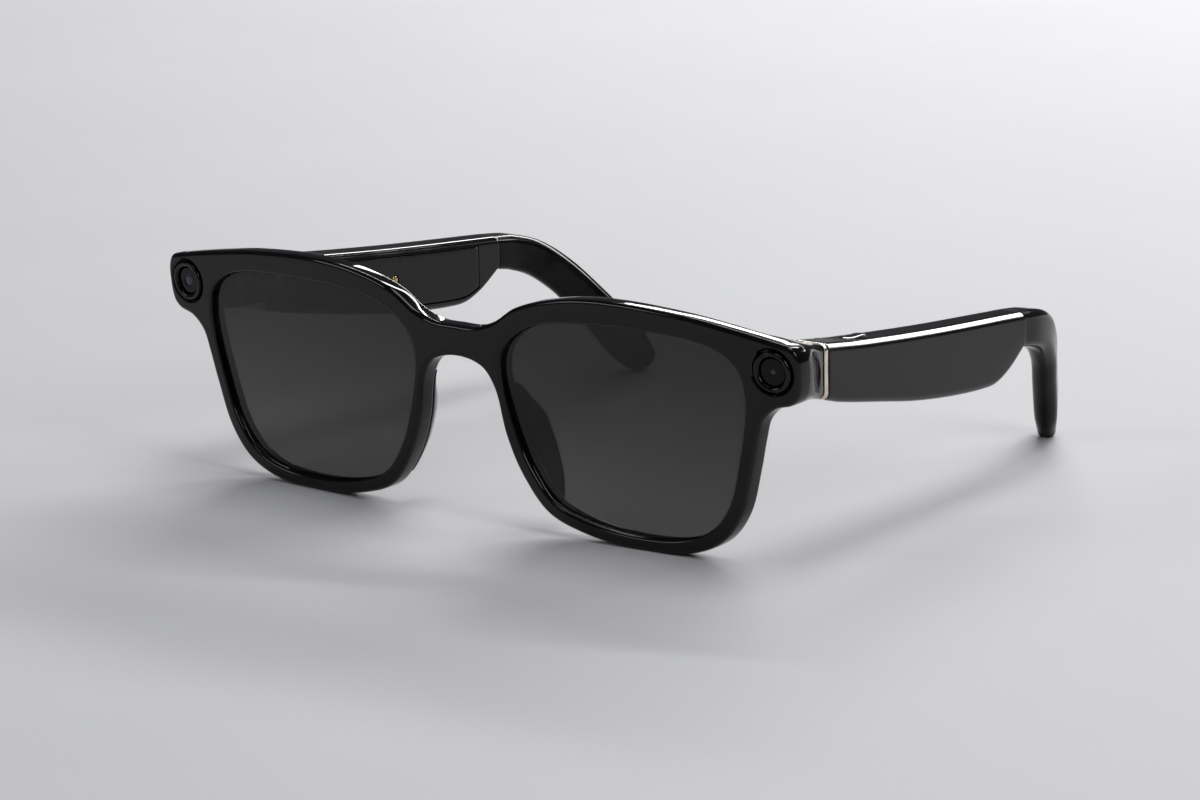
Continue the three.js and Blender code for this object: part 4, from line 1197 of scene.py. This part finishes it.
def spreadTree(name):
    # sets a copy of one small piece at every point of the mesh, turned to the point's normal
    tree, start, end = newTree(name, [
        ("Piece", "NodeSocketObject", None), ("Material", "NodeSocketMaterial", None),
        ("Size", "NodeSocketFloat", 1.0),
    ])
    space = {"transform_space": "ORIGINAL"}
    shown = gn(tree, "GeometryNodeObjectInfo", space, {"Object": start.outputs["Piece"]})
    normal = gn(tree, "GeometryNodeInputNormal")
    align = gn(tree, "FunctionNodeAlignRotationToVector", {"axis": "Z"}, {"Vector": normal.outputs["Normal"]})
    points = gn(tree, "GeometryNodeMeshToPoints", {"mode": "FACES"}, {"Mesh": start.outputs["Geometry"]})
    geometry = {"Geometry": start.outputs["Geometry"]}
    caught = gn(tree, "GeometryNodeCaptureAttribute", {"domain": "FACE"}, geometry)
    caught.capture_items.new("ROTATION", "Turn")
    tree.links.new(align.outputs["Rotation"], caught.inputs["Turn"])
    tree.links.new(caught.outputs["Geometry"], points.inputs["Mesh"])
    placed = gn(tree, "GeometryNodeInstanceOnPoints", {}, {
        "Points": points.outputs["Points"], "Instance": shown.outputs["Geometry"],
        "Rotation": caught.outputs["Turn"],
    })
    tree.links.new(start.outputs["Size"], placed.inputs["Scale"])
    real = gn(tree, "GeometryNodeRealizeInstances", {}, {"Geometry": placed.outputs["Instances"]})
    painted = gn(tree, "GeometryNodeSetMaterial", {}, {
        "Geometry": real.outputs["Geometry"], "Material": start.outputs["Material"],
    })
    tree.links.new(painted.outputs["Geometry"], end.inputs["Geometry"])
    return tree


def screwPiece():
    # a small turned screw along +Z, its head up, with a six-lobed socket
    v = screwValues
    r, head, h = v["radius"], v["head"], v["headHeight"]
    end = -v["length"]
    profile = [(0, end), (r * 0.6, end), (r, end + 0.3), (r, 0), (head, 0)]
    profile += [(head, h * 0.5), (head * 0.86, h * 0.9), (head * 0.7, h), (0, h)]
    screw = turned("screw_blank", profile, (0, 0, 0), "z", 40)
    lobes = []
    for z in (h - 0.22, h + 0.3):
        ring = []
        for k in range(48):
            angle = 2 * math.pi * k / 48
            reach = 0.46 + 0.09 * math.cos(v["lobes"] * angle)
            ring.append((reach * math.cos(angle), reach * math.sin(angle), z))
        lobes.append(ring)
    return creased(combine(screw, loft("lobes", lobes)), 35)


def seatMesh(name, places, directions):  # one tiny face at each place, facing the way the screw does
    points, faces = [], []
    for place, direction in zip(places, directions):
        direction = Vector(direction).normalized()
        side = direction.orthogonal().normalized()
        other = direction.cross(side)
        base = len(points)
        for a, b in ((1, 1), (-1, 1), (-1, -1), (1, -1)):
            points.append(Vector(place) + side * a * 0.01 + other * b * 0.01)
        faces.append((base, base + 1, base + 2, base + 3))
    return newObject(name, points, faces)


spread = spreadTree("set_pieces")


def setScrews(name, body, node, direction):
    low, high = boxOf(node)
    inner = low.x if direction < 0 else high.x
    place = (inner - direction * screwValues["headHeight"], (low.y + high.y) / 2, (low.z + high.z) / 2)
    holder = seatMesh(name, [place], [(direction, 0, 0)])
    runTree(holder, spread, {"Piece": screwBlank, "Material": turnedSteel, "Size": 1.0})
    fit(tidy(holder, outward=False), body, turnedSteel, node, slot="steel")
    creased(holder, 35)


grilleValues = {"bars": 17, "barWidth": 0.22, "barHeight": 0.4, "frame": 0.26}


def grilleBar():
    # one rounded bar of the grille, lying along X
    half, rise = grilleValues["barWidth"] / 2, grilleValues["barHeight"] / 2
    ring = [(y * half, z * rise) for y, z in ((-1, -1), (1, -1), (1, 0.5), (0.6, 1), (-0.6, 1), (-1, 0.5))]
    rings = [[(x, y, z) for y, z in ring] for x in (-grilleHalf + 0.1, 0, grilleHalf - 0.1)]
    return creased(loft("grille_bar", rings), 40)


def buildGrille(sideName, side):
    v = grilleValues
    low, high = boxOf("speaker_grille_" + sideName)
    first, last = low.y - hingePlane, high.y - hingePlane
    edge = v["frame"]
    sides = (shifted(centreX, -grilleHalf), shifted(centreX, grilleHalf))
    levels = (shifted(bottomZ, 0.25), shifted(bottomZ, 1))
    rim = band("grille_rim_" + sideName, first, last, *sides, *levels, 30)
    sides = (shifted(centreX, -grilleHalf + edge), shifted(centreX, grilleHalf - edge))
    levels = (shifted(bottomZ, -0.5), shifted(bottomZ, 2))
    combine(rim, band("hole", first + edge, last - edge, *sides, *levels, 30))
    places, directions = [], []
    for k in range(v["bars"]):
        back = first + edge + (last - first - 2 * edge) * (k + 0.5) / v["bars"]
        rise = bottomZ(back + 0.5) - bottomZ(back - 0.5)
        places.append((centreX(back), hingePlane + back, bottomZ(back) + 0.6))
        directions.append((0, -rise, 1))
    holder = seatMesh("grille_bars_" + sideName, places, directions)
    runTree(holder, spread, {"Piece": barBlank, "Material": meshSteel, "Size": 1.0})
    if side < 0:
        rimRight, barsRight = flipped(rim, "grille_rim_" + sideName), flipped(holder, "grille_bars_right")
        bpy.data.objects.remove(rim)
        bpy.data.objects.remove(holder)
        rim, holder = rimRight, barsRight
    fit(creased(rim), sideName + "_temple", meshSteel, "speaker_grille_" + sideName, slot="steel")
    fit(creased(holder, 40), sideName + "_temple", meshSteel, slot="steel")


# making everything
def both(piece, name, leftBody, rightBody, finish, node, slot):
    twin = flipped(piece, name + "_right")
    piece.name = name + "_left"
    fit(piece, leftBody, finish, node + "_left", slot=slot)
    fit(twin, rightBody, finish, node + "_right", slot=slot)


buildFront()
print("front made")
both(buildLens(), "lens_glass", "front", "front", lensSmoke, "lens", "smoke_lens")
both(buildPad(), "nose_pad_moulded", "front", "front", padGloss, "nose_pad", "soft_black")
buildCamera(1, "left", False)
buildCamera(-1, "right", True)
print("lenses, pads and cameras made")

shellLeft = buildShell()
shellRight = flipped(shellLeft, "temple_casing_right")
buttonLevels = [(buttonHigh.z + 1, 0), (buttonLow.z - 1, 0)]
buttonSize = (buttonValues["length"], buttonValues["width"])
combine(shellLeft, pill("button_hole", buttonCentre, *buttonSize, buttonLevels, 0.2))
fit(creased(shellLeft, 30), "left_temple", templeSatin, "temple_shell_left", slot="temple_black")
fit(creased(shellRight, 30), "right_temple", templeSatin, "temple_shell_right", slot="temple_black")
fit(buildButton(), "capture_button", templeSatin, "capture_button_left", slot="gloss_black")
coverLeft = buildCover(False)
coverLeft.name = "inner_cover_panel_left"
fit(coverLeft, "left_temple", coverSatin, "temple_inner_cover_left", slot="satin_black")
coverMade = buildCover(True)
coverRight = flipped(coverMade, "inner_cover_panel_right")
bpy.data.objects.remove(coverMade)
fit(coverRight, "right_temple", coverSatin, "temple_inner_cover_right", slot="satin_black")
both(buildTrim(), "trim_band", "left_temple", "right_temple", trimMetal, "temple_trim", "champagne_metal")
both(buildTip(), "ear_hook", "left_temple", "right_temple", tipSoft, "temple_tip", "soft_black")
print("temples made")

frontLeaf = creased(leafBody("front_leaf", "hinge_front_leaf_left", (-1, 1)), 30)
both(frontLeaf, "front_leaf", "front", "front", leafMetal, "hinge_front_leaf", "pale_metal")
templeLeaf = creased(leafBody("temple_leaf", "hinge_temple_leaf_left", (0,)), 30)
both(templeLeaf, "temple_leaf", "left_temple", "right_temple", leafMetal, "hinge_temple_leaf", "pale_metal")
both(pinBody(), "pin_turned", "front", "front", turnedSteel, "hinge_pin", "steel")
screwBlank = screwPiece()
barBlank = grilleBar()
for sideName, side in (("left", 1), ("right", -1)):
    setScrews("front_leaf_screw_" + sideName, "front", "hinge_front_screw_" + sideName, -side)
    setScrews("temple_leaf_screw_" + sideName, sideName + "_temple", "hinge_temple_screw_" + sideName, -side)
    buildGrille(sideName, side)
for blank in (screwBlank, barBlank):
    bpy.data.objects.remove(blank)


def buildContact(node):
    low, high = boxOf(node)
    centre = (0, (low.y + high.y) / 2, (low.z + high.z) / 2)
    r = (high.z - low.z) / 2
    dome = [(r * math.sin(a), high.x - 0.25 * (1 - math.cos(a))) for a in np.linspace(0, math.pi / 2, 9)]
    contact = turned("contact_pin_" + node.split("_")[2], [*dome, (r, low.x), (0, low.x)], centre, "x", 40)
    fit(creased(contact, 40), "right_temple", contactGold, node, slot="contact_gold")


for node in ("charging_contact_front_right", "charging_contact_rear_right"):
    buildContact(node)
print("hinges, grilles and contacts made")

# the inner pieces that keep their CAD shape, the rest of them in moulded black
kept = {
    "front_flex_cable": amberFilm,
    "touch_sensor_right": amberFilm,
    "tip_core_wire": turnedSteel,
    "capture_switch_left": turnedSteel,
    "microphone": canFoil,
    "battery_left": cellFoil,
    "main_board_right": boardGreen,
    "charging_board_right": boardGreen,
}
for name, node in nodes.items():
    if node.hide_render:
        continue
    finish = next((made for key, made in kept.items() if name.startswith(key)), channelSatin)
    node.data.materials.clear()
    node.data.materials.append(finish)


# studio
studioValues = {"floorSize": 4.0, "floorShade": (0.6, 0.6, 0.615), "world": 0.08}


def buildFloor():
    v = studioValues
    count = 96
    angles = np.linspace(0, 2 * math.pi, count, endpoint=False)
    rings = []
    for r in np.linspace(0.02, 1, 40):
        radius = r * v["floorSize"]
        rise = 1.6 * max(0.0, (r - 0.6) / 0.4) ** 2
        rings.append([(radius * math.cos(a), radius * math.sin(a), rise) for a in angles])
    points = np.concatenate([np.array(rings).reshape(-1, 3), [[0, 0, 0]]]) / mm
    faces = [(k, (k + 1) % count, len(points) - 1) for k in range(count)]
    for i in range(len(rings) - 1):
        for j in range(count):
            k = (j + 1) % count
            faces.append((i * count + j, (i + 1) * count + j, (i + 1) * count + k, i * count + k))
    floor = newObject("studio_floor", points, faces)
    made = Finish("pale_floor", Roughness=0.75)
    weave = made.noise(1.2, 3)
    wide = made.noise(60, 3)
    shade = v["floorShade"]
    dark = tuple(c * 0.9 for c in shade)
    floor.data.materials.append(made.feed(
        Base_Color=made.blend(weave * 0.4 + wide * 0.6, dark, shade), Normal=made.bump(weave, 0.2, 0.05),
    ))
    creased(floor)


lightValues = {  # place, what it faces, size in metres, power and tint
    "back_strip": ((-0.1, 1.05, 0.53), (0, 0, 0.02), (1.4, 0.11), 9.5, (1, 1, 1)),
    "high_strip": ((-0.35, 0.85, 0.85), (0, 0, 0.02), (0.9, 0.05), 4, (1, 1, 1)),
    "overhead": ((0.15, 0.1, 1.25), (0, 0.05, 0.0), (0.9, 0.55), 6.8, (1, 1, 1)),
    "key_side": ((0.95, -0.2, 0.6), (0, 0, 0.02), (0.3, 0.5), 2.8, (1, 1, 1)),
    "front_fill": ((-0.7, -0.9, 0.6), (0, 0, 0.02), (0.5, 0.3), 2, (0.9, 0.95, 1)),
}


def softLight(name, place, aim, size, power, shade):
    lamp = bpy.data.lights.new(name, "AREA")
    lamp.shape = "RECTANGLE"
    lamp.size, lamp.size_y = size
    lamp.energy, lamp.color = power, shade
    light = bpy.data.objects.new(name, lamp)
    light.location = place
    light.rotation_euler = (Vector(aim) - Vector(place)).to_track_quat("-Z", "Y").to_euler()
    bpy.context.scene.collection.objects.link(light)


buildFloor()
world = bpy.data.worlds.new("studio")
world.use_nodes = True
world.node_tree.nodes["Background"].inputs["Color"].default_value = (0.86, 0.88, 0.93, 1)
world.node_tree.nodes["Background"].inputs["Strength"].default_value = studioValues["world"]
bpy.context.scene.world = world
bpy.context.scene.view_settings.view_transform = "Standard"  # keeps the black plastic deep
for name, values in lightValues.items():
    softLight(name, *values)

cameraValues = {
    "aim": (0.00115, -0.01896, 0.01492),
    "distance": 0.92,
    "azimuth": 38.677,
    "elevation": 13.214,
    "roll": -0.95,
    "lens": 153.47,
}


def buildCameraView():
    v = cameraValues
    a, e, roll = (math.radians(v[key]) for key in ("azimuth", "elevation", "roll"))
    back = Vector((math.sin(a) * math.cos(e), -math.cos(a) * math.cos(e), math.sin(e)))
    across = Vector((0, 0, 1)).cross(back).normalized()
    up = back.cross(across)
    right = across * math.cos(roll) + up * math.sin(roll)
    above = up * math.cos(roll) - across * math.sin(roll)
    lensData = bpy.data.cameras.new("view")
    lensData.lens, lensData.sensor_width = v["lens"], 36
    lensData.clip_start, lensData.clip_end = 0.01, 20
    view = bpy.data.objects.new("view", lensData)
    view.location = Vector(v["aim"]) + back * v["distance"]
    turn = np.array([right, above, back]).T
    view.rotation_mode = "QUATERNION"
    view.rotation_quaternion = Matrix(turn.tolist()).to_quaternion()
    bpy.context.scene.collection.objects.link(view)
    bpy.context.scene.camera = view


buildCameraView()
print("studio made")
